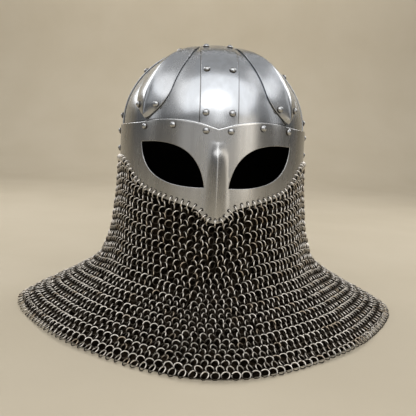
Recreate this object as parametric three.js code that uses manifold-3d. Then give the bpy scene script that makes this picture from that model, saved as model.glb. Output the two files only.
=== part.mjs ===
// A riveted iron spectacle helmet with a hanging mail curtain, in millimetres.
// The origin is the inside of the crown, where the wearer's head bears. +Z is up and the face looks
// along -Y. Left and right are the wearer's, so left is +X. Heights are measured from the brow plane,
// where the domed bowl turns into an upright wall, and angles round the head from the middle of the face.

import * as THREE from 'three';
import { mergeVertices } from 'three/addons/utils/BufferGeometryUtils.js';
import Module from 'manifold-3d';

// Bowl and plates
const SKULL_HALF_WIDTH = 94.5;
const SKULL_HALF_LENGTH = 111.5;
const SKULL_HEIGHT = 83.5;
const SKULL_WALL_DROP = 11;
const SKULL_COLUMNS = 48;
const SKULL_ROWS = 8;
const SHEET = 1.2;
const MASK_SHEET = 1.4;
const SEAM = 0.35;
const BROW_Z = SHEET - SKULL_HEIGHT;

// How far each layer of plate lies outside the bowl
const STRAP_LIFT = SEAM;
const MASK_LIFT = STRAP_LIFT + SHEET + SEAM;
const RIVET_GAP = 0.3;

// Straps
const STRAP_WIDTH = 34;
const STRAP_RIVET_OFFSET = 11.8;
const FRONT_STRAP_DROP = 9;
const SIDE_STRAP_DROP = 33.5;
const STRAP_STEP = 7.5;
const SIDE_STRAP_STEPS = 11;
const STRAP_ACROSS = [-1, -0.5, 0, 0.5, 1];

// Ribs: a leaf-shaped plate with a raised middle, from its low point up towards the crown
const RIB_ANGLE = 44;
const RIB_ROWS = 13;
const RIB_LENGTHWISE = [
  { elevation: 3.2, halfWidth: 0.8, ridge: 0.4 },
  { elevation: 8.7, halfWidth: 12.2, ridge: 3.2 },
  { elevation: 12.6, halfWidth: 18.3, ridge: 4.4 },
  { elevation: 19, halfWidth: 23.2, ridge: 5.4 },
  { elevation: 26, halfWidth: 24, ridge: 5.6 },
  { elevation: 41, halfWidth: 21.8, ridge: 5 },
  { elevation: 50.5, halfWidth: 18.7, ridge: 3.8 },
  { elevation: 59, halfWidth: 13.6, ridge: 2.3 },
  { elevation: 66, halfWidth: 8.5, ridge: 1.1 },
  { elevation: 71, halfWidth: 4, ridge: 0.5 },
];
const RIB_FLANK = { across: 0.45, raise: 0.52 };
const RIB_CROWN = { across: 0.12, raise: 0.97 };
const RIB_CROSSWISE = [
  { across: -1, raise: 0 },
  { across: -RIB_FLANK.across, raise: RIB_FLANK.raise },
  { across: -RIB_CROWN.across, raise: RIB_CROWN.raise },
  RIB_CROWN,
  RIB_FLANK,
  { across: 1, raise: 0 },
];
const RIB_RIVET = { elevation: 12.2, across: 0.7 };

// Rim plates: the mask spans the front half and the nape band the rear half
const PLATE_STEP = 3.75;
const PLATE_END = 89.9;
const MASK_ROWS = 9;
const NAPE_ROWS = 3;
const BAND_TOP = -1;
const BAND_BOTTOM = -36;
const MASK_TOP = [
  { angle: 0, height: -2.2 },
  { angle: 5, height: 0.4 },
  { angle: 10, height: 2.8 },
  { angle: 20, height: 5.1 },
  { angle: 34, height: 4.8 },
  { angle: 46, height: 2 },
  { angle: 62, height: 0.6 },
  { angle: 90, height: BAND_TOP },
];
const MASK_BOTTOM = [
  { angle: 0, height: -86 },
  { angle: 4.5, height: -84.5 },
  { angle: 7, height: -80 },
  { angle: 9.5, height: -75.5 },
  { angle: 14, height: -72.5 },
  { angle: 22, height: -69.6 },
  { angle: 35, height: -64.5 },
  { angle: 41.5, height: -61 },
  { angle: 47.5, height: -56 },
  { angle: 54, height: -48.5 },
  { angle: 60, height: -41 },
  { angle: 68, height: BAND_BOTTOM },
  { angle: 90, height: BAND_BOTTOM },
];
const NAPE_BOTTOM = [
  { angle: 90, height: BAND_BOTTOM },
  { angle: 98, height: -37 },
  { angle: 108, height: -47 },
  { angle: 120, height: -63 },
  { angle: 134, height: -75 },
  { angle: 152, height: -82 },
  { angle: 180, height: -84 },
];
const NASAL = [
  { height: -90, ridge: 5.6, halfWidth: 13 },
  { height: -60, ridge: 6, halfWidth: 11 },
  { height: -36, ridge: 5.4, halfWidth: 10 },
  { height: -27, ridge: 4.2, halfWidth: 9.5 },
  { height: -20, ridge: 1.6, halfWidth: 9 },
  { height: -13, ridge: 0, halfWidth: 9 },
];

// Eye opening, as sideways distance and height: one curve over it and one under it, with sharp corners
const EYE_INNER_CORNER = [11.2, -54.3];
const EYE_CURVES = [
  [15.1, -27.5, 30.6, -11.4, 70.1, -16.5],
  [69.1, -51.2, 40.5, -55.2, ...EYE_INNER_CORNER],
];
const EYE_CURVE_STEPS = 10;
const EYE_CUT_FROM = -40;
const EYE_CUT_DEPTH = 140;

// Rivets
const RIVET_RADIUS = 3.2;
const RIVET_HEIGHT = 2.6;
const RIVET_SIDES = 8;
const RIVET_PROFILE = [
  { radius: 0, height: 0 },
  { radius: 1, height: 0 },
  { radius: 0.72, height: 0.72 },
  { radius: 0, height: 1 },
];
const CREST_RIVETS = [
  { name: 'front_low', end: 'front', height: 12 },
  { name: 'front_high', end: 'front', height: 52 },
  { name: 'front_crown', end: 'front', height: 80 },
  { name: 'back_crown', end: 'back', height: 80 },
  { name: 'back_high', end: 'back', height: 52 },
  { name: 'back_low', end: 'back', height: 12 },
];
const SIDE_STRAP_RIVETS = [
  { name: 'low', height: 9 },
  { name: 'high', height: 56 },
  { name: 'crown', height: 78 },
];
const BAND_RIVETS = [
  { name: 'upper', height: -7 },
  { name: 'lower', height: -25 },
];
const NAPE_RIVET_HEIGHT = -14;
const BROW_RIVETS = [
  { name: 'inner', sideways: 11, height: -4 },
  { name: 'middle', sideways: 40.5, height: 0 },
  { name: 'outer', sideways: 67, height: -2 },
];

// Mail curtain: a woven wall that hangs from the rim, then flares to a hem at floor level
const MAIL_WALL = 4;
const MAIL_LIFT = MASK_LIFT + MASK_SHEET / 2;
const MAIL_ROWS = 14;
const MAIL_SAMPLES = 60;
const MAIL_REAR_STEP = 7.5;
const MAIL_FINE_TO = 60;
const FOLDS = 8;
const FOLD_DEPTH = 2.2;
const MAIL_HANG = [
  { drop: 36, flare: 0 },
  { drop: 56, flare: 0.006 },
  { drop: 81, flare: 0.025 },
  { drop: 106, flare: 0.055 },
  { drop: 124, flare: 0.1 },
  { drop: 139, flare: 0.16 },
  { drop: 149.5, flare: 0.26 },
  { drop: 162, flare: 0.455 },
  { drop: 174.5, flare: 0.675 },
  { drop: 185.5, flare: 0.885 },
  { drop: 192, flare: 1 },
];
const MAIL_HEM = [
  { waves: 0, reach: 194.4 },
  { waves: 2, reach: 1.2 },
  { waves: 4, reach: 9.1 },
  { waves: 8, reach: 1.8 },
];

const IRON = { color: 0x8f9092, roughness: 0.32, metalness: 1 };
const RIVET_IRON = { color: 0xa4a5a6, roughness: 0.25, metalness: 1 };
const MAIL_IRON = { color: 0x5c5751, roughness: 0.4, metalness: 1 };

// The two hands, and the quarters of the bowl, with the signs that mirror a front left piece into place
const HANDS = [['left', 1], ['right', -1]];
const QUARTERS = [
  { name: 'front_left', hand: 1, front: 1 },
  { name: 'front_right', hand: -1, front: 1 },
  { name: 'back_left', hand: 1, front: -1 },
  { name: 'back_right', hand: -1, front: -1 },
];

const wasm = await Module();
wasm.setup();
const radians = THREE.MathUtils.degToRad;
const helmet = new THREE.Group();

// Reads a table's column on a smooth curve through its rows
function readTable(table, key, column, value) {
  const last = table.length - 1;
  let row = 0;
  while (row < last - 1 && value > table[row + 1][key]) row += 1;
  const slope = (index) => {
    const before = table[Math.max(index - 1, 0)];
    const after = table[Math.min(index + 1, last)];
    return (after[column] - before[column]) / (after[key] - before[key]);
  };
  const start = table[row];
  const end = table[row + 1];
  const span = end[key] - start[key];
  const t = THREE.MathUtils.clamp((value - start[key]) / span, 0, 1);
  const rise = end[column] - start[column];
  const bend = slope(row) * span - rise;
  const counterBend = rise - slope(row + 1) * span;
  return start[column] + t * rise + t * (1 - t) * (bend * (1 - t) + counterBend * t);
}

// Even steps from one value to another, both included
function steps(from, to, count) {
  return Array.from({ length: count + 1 }, (_, index) => from + ((to - from) * index) / count);
}

// Turns points and triangles into one closed geometry with its faces pointing out
function closedGeometry(points, triangles) {
  const raw = new THREE.BufferGeometry();
  raw.setAttribute('position', new THREE.Float32BufferAttribute(points.flatMap((p) => p.toArray()), 3));
  raw.setIndex(triangles.flat());
  const merged = mergeVertices(raw, 1e-4);
  const index = merged.getIndex().array;
  const kept = [];
  let volume = 0;
  for (let at = 0; at < index.length; at += 3) {
    const [a, b, c] = [index[at], index[at + 1], index[at + 2]];
    if (a !== b && b !== c && c !== a) {
      const corner = (id) => new THREE.Vector3().fromBufferAttribute(merged.getAttribute('position'), id);
      volume += corner(a).dot(corner(b).cross(corner(c)));
      kept.push([a, b, c]);
    }
  }
  merged.setIndex(volume > 0 ? kept.flat() : kept.map(([a, b, c]) => [a, c, b]).flat());
  merged.computeVertexNormals();
  return merged;
}

// A plate between an inner face, side 0, and an outer face, side 1, over a grid of columns and rows
function plateGeometry(columns, rows, pointAt, isRing = false) {
  const points = [];
  const triangles = [];
  for (const side of [0, 1]) {
    for (const column of columns) {
      for (const row of rows) points.push(pointAt(column, row, side));
    }
  }
  const corner = (i, j, side) => (side * columns.length + (i % columns.length)) * rows.length + j;
  const quad = (a, b, c, d) => triangles.push([a, b, c], [a, c, d]);
  const spans = isRing ? columns.length : columns.length - 1;
  const top = rows.length - 1;
  for (let i = 0; i < spans; i += 1) {
    for (let j = 0; j < top; j += 1) {
      quad(corner(i, j, 1), corner(i + 1, j, 1), corner(i + 1, j + 1, 1), corner(i, j + 1, 1));
      quad(corner(i, j, 0), corner(i, j + 1, 0), corner(i + 1, j + 1, 0), corner(i + 1, j, 0));
    }
    quad(corner(i, 0, 0), corner(i + 1, 0, 0), corner(i + 1, 0, 1), corner(i, 0, 1));
    quad(corner(i, top, 1), corner(i + 1, top, 1), corner(i + 1, top, 0), corner(i, top, 0));
  }
  for (let j = 0; j < top && !isRing; j += 1) {
    quad(corner(0, j, 0), corner(0, j, 1), corner(0, j + 1, 1), corner(0, j + 1, 0));
    quad(corner(spans, j, 1), corner(spans, j, 0), corner(spans, j + 1, 0), corner(spans, j + 1, 1));
  }
  return closedGeometry(points, triangles);
}

function addPiece(name, geometry, finish) {
  const piece = new THREE.Mesh(geometry, new THREE.MeshStandardMaterial(finish));
  piece.name = name;
  helmet.add(piece);
  return piece;
}

// A point on the dome, or on the upright wall where drop is more than zero
function domePoint(angle, elevation, lift, drop = 0) {
  const level = Math.cos(radians(elevation));
  return new THREE.Vector3(
    (SKULL_HALF_WIDTH + lift) * level * Math.sin(radians(angle)),
    -(SKULL_HALF_LENGTH + lift) * level * Math.cos(radians(angle)),
    BROW_Z + (SKULL_HEIGHT + lift) * Math.sin(radians(elevation)) - drop,
  );
}

// The same surface by height: a dome above the brow plane and an upright wall below it
function rimPoint(angle, height, lift) {
  if (height <= 0) return domePoint(angle, 0, lift, -height);
  const elevation = Math.asin(height / (SKULL_HEIGHT + lift));
  return domePoint(angle, THREE.MathUtils.radToDeg(elevation), lift);
}

// Skull: one raised bowl with a short upright wall
function addSkull() {
  const columns = steps(0, 360, SKULL_COLUMNS).slice(0, -1);
  const rows = [{ elevation: 0, drop: SKULL_WALL_DROP }];
  for (const elevation of steps(0, 90, SKULL_ROWS)) rows.push({ elevation, drop: 0 });
  const pointAt = (angle, row, side) => domePoint(angle, row.elevation, (side - 1) * SHEET, row.drop);
  addPiece('skull', plateGeometry(columns, rows, pointAt, true), IRON);
}

// A point on the crest strap, which runs over the bowl from brow to nape. A station is an angle from
// the front brow over the crown to the rear brow, with a drop down the upright wall at either end.
function crestPoint(across, station, lift) {
  const shrink = Math.sqrt(1 - (across / (SKULL_HALF_WIDTH + lift)) ** 2);
  return new THREE.Vector3(
    across,
    -(SKULL_HALF_LENGTH + lift) * Math.cos(radians(station.angle)) * shrink,
    BROW_Z + (SKULL_HEIGHT + lift) * Math.sin(radians(station.angle)) * shrink - station.drop,
  );
}

// The same for a side strap, whose station starts at the side brow
function sideStrapPoint(hand, across, station, lift) {
  const shrink = Math.sqrt(1 - (across / (SKULL_HALF_LENGTH + lift)) ** 2);
  return new THREE.Vector3(
    hand * (SKULL_HALF_WIDTH + lift) * Math.cos(radians(station.angle)) * shrink,
    across,
    BROW_Z + (SKULL_HEIGHT + lift) * Math.sin(radians(station.angle)) * shrink - station.drop,
  );
}

function addStraps() {
  const columns = STRAP_ACROSS.map((share) => (share * STRAP_WIDTH) / 2);
  const liftOf = (side) => STRAP_LIFT + side * SHEET;
  const level = (angle) => ({ angle, drop: 0 });
  const crestStations = [
    { angle: 0, drop: FRONT_STRAP_DROP },
    ...steps(0, 180, 180 / STRAP_STEP).map(level),
    { angle: 180, drop: SIDE_STRAP_DROP },
  ];
  const crestAt = (across, station, side) => crestPoint(across, station, liftOf(side));
  addPiece('crest_strap', plateGeometry(columns, crestStations, crestAt), IRON);

  const crownReach = STRAP_WIDTH / 2 + 2 * SEAM;
  const topAngle = THREE.MathUtils.radToDeg(Math.acos(crownReach / SKULL_HALF_WIDTH));
  const sideStations = [{ angle: 0, drop: SIDE_STRAP_DROP }, ...steps(0, topAngle, SIDE_STRAP_STEPS).map(level)];
  for (const [handName, hand] of HANDS) {
    const sideAt = (across, station, side) => sideStrapPoint(hand, across, station, liftOf(side));
    addPiece(`side_strap_${handName}`, plateGeometry(columns, sideStations, sideAt), IRON);
  }
}

// A point on a rib, at a share of its half width and of its ridge
function ribPoint(quarter, elevation, across, raise, lift) {
  const halfWidth = readTable(RIB_LENGTHWISE, 'elevation', 'halfWidth', elevation);
  const ridge = readTable(RIB_LENGTHWISE, 'elevation', 'ridge', elevation);
  const turn = Math.hypot(
    SKULL_HALF_WIDTH * Math.cos(radians(RIB_ANGLE)),
    SKULL_HALF_LENGTH * Math.sin(radians(RIB_ANGLE)),
  );
  const swing = (across * halfWidth) / (turn * Math.cos(radians(elevation)));
  const angle = RIB_ANGLE + THREE.MathUtils.radToDeg(swing);
  const point = domePoint(angle, elevation, lift + raise * ridge);
  return point.multiply(new THREE.Vector3(quarter.hand, quarter.front, 1));
}

function addRibs() {
  const lowest = RIB_LENGTHWISE[0].elevation;
  const highest = RIB_LENGTHWISE[RIB_LENGTHWISE.length - 1].elevation;
  const rows = steps(lowest, highest, RIB_ROWS);
  for (const quarter of QUARTERS) {
    const pointAt = (column, elevation, side) => {
      return ribPoint(quarter, elevation, column.across, column.raise, STRAP_LIFT + side * SHEET);
    };
    addPiece(`rib_${quarter.name}`, plateGeometry(RIB_CROSSWISE, rows, pointAt), IRON);
  }
}

// A point on the mask, with the crease of the nasal raised along its middle
function maskPoint(angle, height, lift) {
  const point = rimPoint(angle, height, lift);
  const ridge = readTable(NASAL, 'height', 'ridge', height);
  const halfWidth = readTable(NASAL, 'height', 'halfWidth', height);
  point.y -= ridge * Math.max(0, 1 - Math.abs(point.x) / halfWidth);
  return point;
}

function toSolid(geometry) {
  const bare = geometry.clone();
  bare.deleteAttribute('normal');
  bare.deleteAttribute('uv');
  const merged = mergeVertices(bare, 1e-4);
  return new wasm.Manifold(new wasm.Mesh({
    numProp: 3,
    vertProperties: merged.getAttribute('position').array,
    triVerts: new Uint32Array(merged.getIndex().array),
  }));
}

function toGeometry(solid) {
  const mesh = solid.getMesh();
  const geometry = new THREE.BufferGeometry();
  geometry.setAttribute('position', new THREE.BufferAttribute(mesh.vertProperties, 3));
  geometry.setIndex(new THREE.BufferAttribute(mesh.triVerts, 1));
  geometry.computeVertexNormals();
  return geometry;
}

// A prism through one eye opening, drawn in the sideways and upward directions
function eyeCutter(hand) {
  const outline = new THREE.Shape();
  const place = ([sideways, height]) => [hand * sideways, BROW_Z + height];
  outline.moveTo(...place(EYE_INNER_CORNER));
  for (const [x1, z1, x2, z2, x3, z3] of EYE_CURVES) {
    outline.bezierCurveTo(...place([x1, z1]), ...place([x2, z2]), ...place([x3, z3]));
  }
  outline.closePath();
  const prism = new THREE.ExtrudeGeometry(outline, {
    depth: EYE_CUT_DEPTH,
    bevelEnabled: false,
    curveSegments: EYE_CURVE_STEPS,
  });
  prism.rotateX(Math.PI / 2);
  prism.translate(0, EYE_CUT_FROM, 0);
  return toSolid(prism);
}

// Spectacle mask: the front half of the rim, with brow arcs, eye openings and a nasal
function addMask() {
  const columns = steps(-90, 90, 180 / PLATE_STEP);
  columns[0] = -PLATE_END;
  columns[columns.length - 1] = PLATE_END;
  const pointAt = (angle, share, side) => {
    const top = readTable(MASK_TOP, 'angle', 'height', Math.abs(angle));
    const bottom = readTable(MASK_BOTTOM, 'angle', 'height', Math.abs(angle));
    return maskPoint(angle, bottom + (top - bottom) * share, MASK_LIFT + side * MASK_SHEET);
  };
  const blank = toSolid(plateGeometry(columns, steps(0, 1, MASK_ROWS), pointAt));
  const mask = blank.subtract(eyeCutter(1)).subtract(eyeCutter(-1));
  addPiece('spectacle_mask', toGeometry(mask), IRON);
}

// Nape band: the plain rear half of the rim, which dips to guard the neck
function addNapeBand() {
  const columns = steps(180 - PLATE_END, 180 + PLATE_END, 180 / (2 * PLATE_STEP));
  const pointAt = (angle, share, side) => {
    const bottom = readTable(NAPE_BOTTOM, 'angle', 'height', 180 - Math.abs(angle - 180));
    return rimPoint(angle, bottom + (BAND_TOP - bottom) * share, MASK_LIFT + side * MASK_SHEET);
  };
  addPiece('nape_band', plateGeometry(columns, steps(0, 1, NAPE_ROWS), pointAt), IRON);
}

// A domed rivet head that sits on a plate, with its axis along the plate's outward direction there.
// surfaceAt gives the plate's outer face near the rivet from two small offsets along the plate.
function addRivet(name, surfaceAt) {
  const profile = RIVET_PROFILE.map((row) => {
    return new THREE.Vector2(row.radius * RIVET_RADIUS, row.height * RIVET_HEIGHT);
  });
  const lathe = new THREE.LatheGeometry(profile, RIVET_SIDES);
  const place = lathe.getAttribute('position');
  const points = Array.from({ length: place.count }, (_, id) => new THREE.Vector3().fromBufferAttribute(place, id));
  const index = Array.from(lathe.getIndex().array);
  const triangles = steps(0, index.length / 3 - 1, index.length / 3 - 1).map((row) => {
    return index.slice(3 * row, 3 * row + 3);
  });
  const rivet = addPiece(`rivet_${name}`, closedGeometry(points, triangles), RIVET_IRON);

  const seat = surfaceAt(0, 0);
  const outward = surfaceAt(1, 0).sub(seat).cross(surfaceAt(0, 1).sub(seat)).normalize();
  const headCentre = new THREE.Vector3(0, 0, BROW_Z);
  if (outward.dot(seat.clone().sub(headCentre)) < 0) outward.negate();
  rivet.position.copy(seat).addScaledVector(outward, RIVET_GAP);
  rivet.quaternion.setFromUnitVectors(new THREE.Vector3(0, 1, 0), outward);
}

// Angle along a strap at which its middle reaches a height above the brow plane
function strapAngle(height, lift) {
  return THREE.MathUtils.radToDeg(Math.asin(height / (SKULL_HEIGHT + lift)));
}

function addRivets() {
  const onStrap = STRAP_LIFT + SHEET;
  const onMask = MASK_LIFT + MASK_SHEET;
  for (const rivet of CREST_RIVETS) {
    const rise = strapAngle(rivet.height, onStrap);
    const angle = rivet.end === 'front' ? rise : 180 - rise;
    for (const [handName, hand] of HANDS) {
      addRivet(`crest_${rivet.name}_${handName}`, (u, v) => {
        return crestPoint(hand * STRAP_RIVET_OFFSET + u, { angle: angle + v, drop: 0 }, onStrap);
      });
    }
  }
  for (const [handName, hand] of HANDS) {
    for (const [endName, end] of [['front', -1], ['back', 1]]) {
      for (const rivet of SIDE_STRAP_RIVETS) {
        const angle = strapAngle(rivet.height, onStrap);
        addRivet(`side_${rivet.name}_${endName}_${handName}`, (u, v) => {
          return sideStrapPoint(hand, end * STRAP_RIVET_OFFSET + u, { angle: angle + v, drop: 0 }, onStrap);
        });
      }
      const turn = 90 + end * THREE.MathUtils.radToDeg(STRAP_RIVET_OFFSET / (SKULL_HALF_LENGTH + onMask));
      for (const rivet of BAND_RIVETS) {
        addRivet(`band_${rivet.name}_${endName}_${handName}`, (u, v) => {
          return rimPoint(hand * (turn + u), rivet.height + v, onMask);
        });
      }
    }
    const napeTurn = 180 - THREE.MathUtils.radToDeg(STRAP_RIVET_OFFSET / (SKULL_HALF_WIDTH + onMask));
    addRivet(`nape_${handName}`, (u, v) => rimPoint(hand * (napeTurn + u), NAPE_RIVET_HEIGHT + v, onMask));
    for (const rivet of BROW_RIVETS) {
      const angle = THREE.MathUtils.radToDeg(Math.asin(rivet.sideways / (SKULL_HALF_WIDTH + onMask)));
      addRivet(`brow_${rivet.name}_${handName}`, (u, v) => {
        return maskPoint(hand * (angle + u), rivet.height + v, onMask);
      });
    }
  }
  for (const quarter of QUARTERS) {
    for (const [flankName, flank] of [['inner', -1], ['outer', 1]]) {
      addRivet(`rib_${quarter.name}_${flankName}`, (u, v) => {
        const across = RIB_RIVET.across + 0.1 * u;
        const raise = (RIB_FLANK.raise * (1 - across)) / (1 - RIB_FLANK.across);
        return ribPoint(quarter, RIB_RIVET.elevation + v, flank * across, raise, onStrap);
      });
    }
  }
}

// The line along which the mail hangs at one angle, from the rim to the hem, in evenly spaced points
function hangLine(angle) {
  const turn = Math.abs(THREE.MathUtils.euclideanModulo(angle + 180, 360) - 180);
  const rimHeight = readTable(turn < 90 ? MASK_BOTTOM : NAPE_BOTTOM, 'angle', 'height', turn);
  const rim = rimPoint(angle, rimHeight - SEAM, MAIL_LIFT);
  const hemRadius = MAIL_HEM.reduce((sum, hem) => sum + hem.reach * Math.cos(radians(hem.waves * turn)), 0);
  const hem = new THREE.Vector3(Math.sin(radians(angle)), -Math.cos(radians(angle)), 0).multiplyScalar(hemRadius);
  const rimDrop = SEAM - rimHeight;
  const hemDrop = MAIL_HANG[MAIL_HANG.length - 1].drop;
  const rimFlare = readTable(MAIL_HANG, 'drop', 'flare', rimDrop);
  const samples = steps(rimDrop, hemDrop, MAIL_SAMPLES).map((drop) => {
    const flare = (readTable(MAIL_HANG, 'drop', 'flare', drop) - rimFlare) / (1 - rimFlare);
    const point = rim.clone().lerp(hem, flare);
    return point.setZ(BROW_Z - drop);
  });
  return new THREE.CatmullRomCurve3(samples).getSpacedPoints(MAIL_ROWS);
}

// Mail curtain: the hanging lines give its middle surface, folded a little and given its thickness
function addMail() {
  const fine = steps(-MAIL_FINE_TO, MAIL_FINE_TO, (2 * MAIL_FINE_TO) / PLATE_STEP);
  const rear = steps(MAIL_FINE_TO, 360 - MAIL_FINE_TO, (360 - 2 * MAIL_FINE_TO) / MAIL_REAR_STEP);
  const angles = [...fine, ...rear.slice(1, -1)];
  const lines = angles.map((angle) => hangLine(angle));
  const columns = angles.map((_, index) => index);
  const rows = steps(0, MAIL_ROWS, MAIL_ROWS);
  const pointAt = (column, row, side) => {
    const next = lines[(column + 1) % lines.length][row];
    const before = lines[(column + lines.length - 1) % lines.length][row];
    const below = lines[column][Math.min(row + 1, MAIL_ROWS)];
    const above = lines[column][Math.max(row - 1, 0)];
    const outward = next.clone().sub(before).cross(above.clone().sub(below)).normalize();
    if (row === 0) outward.setZ(0).normalize();
    const share = row / MAIL_ROWS;
    const fold = FOLD_DEPTH * share * Math.cos(FOLDS * radians(angles[column])) * (1 - share / 2);
    return lines[column][row].clone().addScaledVector(outward, fold + (side - 0.5) * MAIL_WALL);
  };
  addPiece('mail_curtain', plateGeometry(columns, rows, pointAt, true), MAIL_IRON);
}

addSkull();
addStraps();
addRibs();
addMask();
addNapeBand();
addRivets();
addMail();

export default helmet;
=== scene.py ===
# A riveted iron spectacle helmet with a hanging mail curtain, over a pale floor.
# Lengths are millimetres until a mesh is made. Angles are degrees round the head from the middle of the
# face. Left and right are the wearer's in the names of pieces, and the viewer's in outlines and lights.
import math
import bmesh
import bpy
import numpy as np
from mathutils import Matrix, Vector
from mathutils.geometry import delaunay_2d_cdt


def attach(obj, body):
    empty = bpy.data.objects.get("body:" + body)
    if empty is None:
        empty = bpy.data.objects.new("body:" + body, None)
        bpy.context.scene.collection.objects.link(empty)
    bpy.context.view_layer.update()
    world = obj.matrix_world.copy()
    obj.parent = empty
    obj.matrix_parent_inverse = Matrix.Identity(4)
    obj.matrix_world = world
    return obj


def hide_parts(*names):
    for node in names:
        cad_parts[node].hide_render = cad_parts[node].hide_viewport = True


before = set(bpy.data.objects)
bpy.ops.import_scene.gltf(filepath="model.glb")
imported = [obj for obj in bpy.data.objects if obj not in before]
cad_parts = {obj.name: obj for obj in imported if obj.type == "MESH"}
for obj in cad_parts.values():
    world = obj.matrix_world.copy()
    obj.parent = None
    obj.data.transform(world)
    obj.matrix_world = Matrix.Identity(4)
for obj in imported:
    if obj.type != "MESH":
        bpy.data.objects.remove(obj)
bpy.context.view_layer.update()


# Skull
# The bowl is one sheet of iron, raised by hammer into a dome with a short upright wall, then ground and
# polished. Every other plate is riveted over it, and its inside is nearly black.
MM = 0.001
SKULL_HALF_WIDTH = 94.5
SKULL_HALF_LENGTH = 111.5
SKULL_HEIGHT = 83.5
SKULL_WALL_DROP = 11.0
SHEET = 1.2
BROW_Z = SHEET - SKULL_HEIGHT
EDGE_ROUND = 0.35
SKULL_COLUMNS = 180
SKULL_ROWS = 44
WELD_REACH = 0.001
IRON_COLOUR = (0.51, 0.53, 0.56, 1.0)
IRON_WARM = (0.50, 0.50, 0.50, 1.0)
IRON_DARK = (0.38, 0.39, 0.40, 1.0)
# Dirt and painted shade: a dark colour laid beside the strap edges and just above the rim plates, where
# one plate laps another.
SEAM_DIRT_AND_SHADE = (0.12, 0.108, 0.095, 1.0)
SEAM_HALF_WIDTH = 17.1
SEAM_DIRT_AND_SHADE_REACH = 0.9
MASK_TOP = {
    "angle": (0.0, 5.0, 10.0, 20.0, 34.0, 46.0, 62.0, 90.0),
    "height": (-2.2, 0.4, 2.8, 5.1, 4.8, 2.0, 0.6, -1.0),
}
BROW_RAMP = (4.0, 12.0)
BROW_DIRT_AND_SHADE_REACH = (0.3, 1.1)
BROW_DIRT_AND_SHADE_STRENGTH = 0.6
# Near-white on the filed top edge of the rim plates: partly filed bright iron, partly a painted highlight.
FILED_EDGE_HIGHLIGHT = (0.88, 0.885, 0.89, 1.0)
INSIDE_BLACK = (0.012, 0.010, 0.009, 1.0)
INSIDE_BROWN = (0.03, 0.025, 0.02, 1.0)


class Sock:
    """A shader socket whose operators add Math nodes, and whose node method adds any other node."""

    def __init__(self, tree, socket):
        self.tree = tree
        self.socket = socket

    def node(self, kind, settings=None, outlet=0, **inputs):
        made = self.tree.nodes.new(kind)
        for key, value in (settings or {}).items():
            if key == "stops":
                fill_ramp(made.color_ramp, value)
            else:
                setattr(made, key, value)
        for key, value in inputs.items():
            slot = made.inputs[int(key[3:])] if key[:3] == "at_" else made.inputs[key]
            if isinstance(value, Sock):
                self.tree.links.new(value.socket, slot)
            else:
                slot.default_value = value
        return Sock(self.tree, made.outputs[outlet])

    def math(self, operation, first, second):
        return self.node("ShaderNodeMath", {"operation": operation}, at_0=first, at_1=second)

    def __add__(self, other):
        return self.math("ADD", self, other)

    def __sub__(self, other):
        return self.math("SUBTRACT", self, other)

    def __mul__(self, other):
        return self.math("MULTIPLY", self, other)

    def __radd__(self, other):
        return self.math("ADD", other, self)

    def __rsub__(self, other):
        return self.math("SUBTRACT", other, self)

    def __rmul__(self, other):
        return self.math("MULTIPLY", other, self)

    def between(self, low, high):
        settings = {"clamp": True}
        inputs = {"From Min": low, "From Max": high}
        return self.node("ShaderNodeMapRange", settings, Value=self, **inputs)

    def blend(self, first, second):
        settings = {"data_type": "RGBA"}
        return self.node("ShaderNodeMix", settings, 2, at_0=self, at_6=first, at_7=second)


def fill_ramp(ramp, stops):
    while len(ramp.elements) < len(stops):
        ramp.elements.new(1.0)
    for element, (place, colour) in zip(ramp.elements, stops):
        element.position = place
        element.color = colour


def new_finish(name):
    """A material, a start for its expressions, and its surface shader."""
    finish = bpy.data.materials.new(name)
    finish.use_nodes = True
    tree = finish.node_tree
    shader = tree.nodes["Principled BSDF"]
    place = tree.nodes.new("ShaderNodeTexCoord")
    return finish, Sock(tree, place.outputs["Object"]), shader


def feed(shader, socket, value):
    value.tree.links.new(value.socket, shader.inputs[socket])


def noise(place, scale, detail=3.0, stretch=(1, 1, 1), roughness=0.5):
    """Smooth noise over the object, in waves to the metre, drawn out along an axis by a small stretch."""
    if stretch != (1, 1, 1):
        place = place.node("ShaderNodeMapping", Vector=place, Scale=stretch)
    inputs = {"Vector": place, "Scale": scale, "Detail": detail, "Roughness": roughness}
    return place.node("ShaderNodeTexNoise", {"noise_dimensions": "3D"}, **inputs)


def strap_seam_dirt_and_shade(place):
    """Dirt and painted shade along the edges of the straps that cross the bowl, from nothing to one."""
    clear = 1.0
    for axis in (0, 1):
        sideways = place.node("ShaderNodeSeparateXYZ", None, axis, Vector=place)
        apart = place.math("ABSOLUTE", sideways, 0.0)
        clear = clear * apart.between(SEAM_HALF_WIDTH * MM, (SEAM_HALF_WIDTH + SEAM_DIRT_AND_SHADE_REACH) * MM)
    return 1.0 - clear


def above_brow(place):
    """Height in millimetres over the top edge of the plates round the rim."""
    x, y, z = (place.node("ShaderNodeSeparateXYZ", None, axis, Vector=place) for axis in range(3))
    turn = place.math("ARCTAN2", place.math("ABSOLUTE", x, 0.0), 0.0 - y) * (1.0 / math.pi)
    stops = [
        (angle / 180.0, [(height + BROW_RAMP[0]) / BROW_RAMP[1]] * 3 + [1.0])
        for angle, height in zip(MASK_TOP["angle"], MASK_TOP["height"])
    ]
    edge = place.node("ShaderNodeValToRGB", {"stops": stops}, Fac=turn) * BROW_RAMP[1] - BROW_RAMP[0]
    return z * (1.0 / MM) - BROW_Z - edge


def brow_seam_dirt_and_shade(place):
    """Dirt and painted shade along the top of the plates round the rim, on what they overlap."""
    return (1.0 - above_brow(place).between(*BROW_DIRT_AND_SHADE_REACH)) * BROW_DIRT_AND_SHADE_STRENGTH


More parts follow.
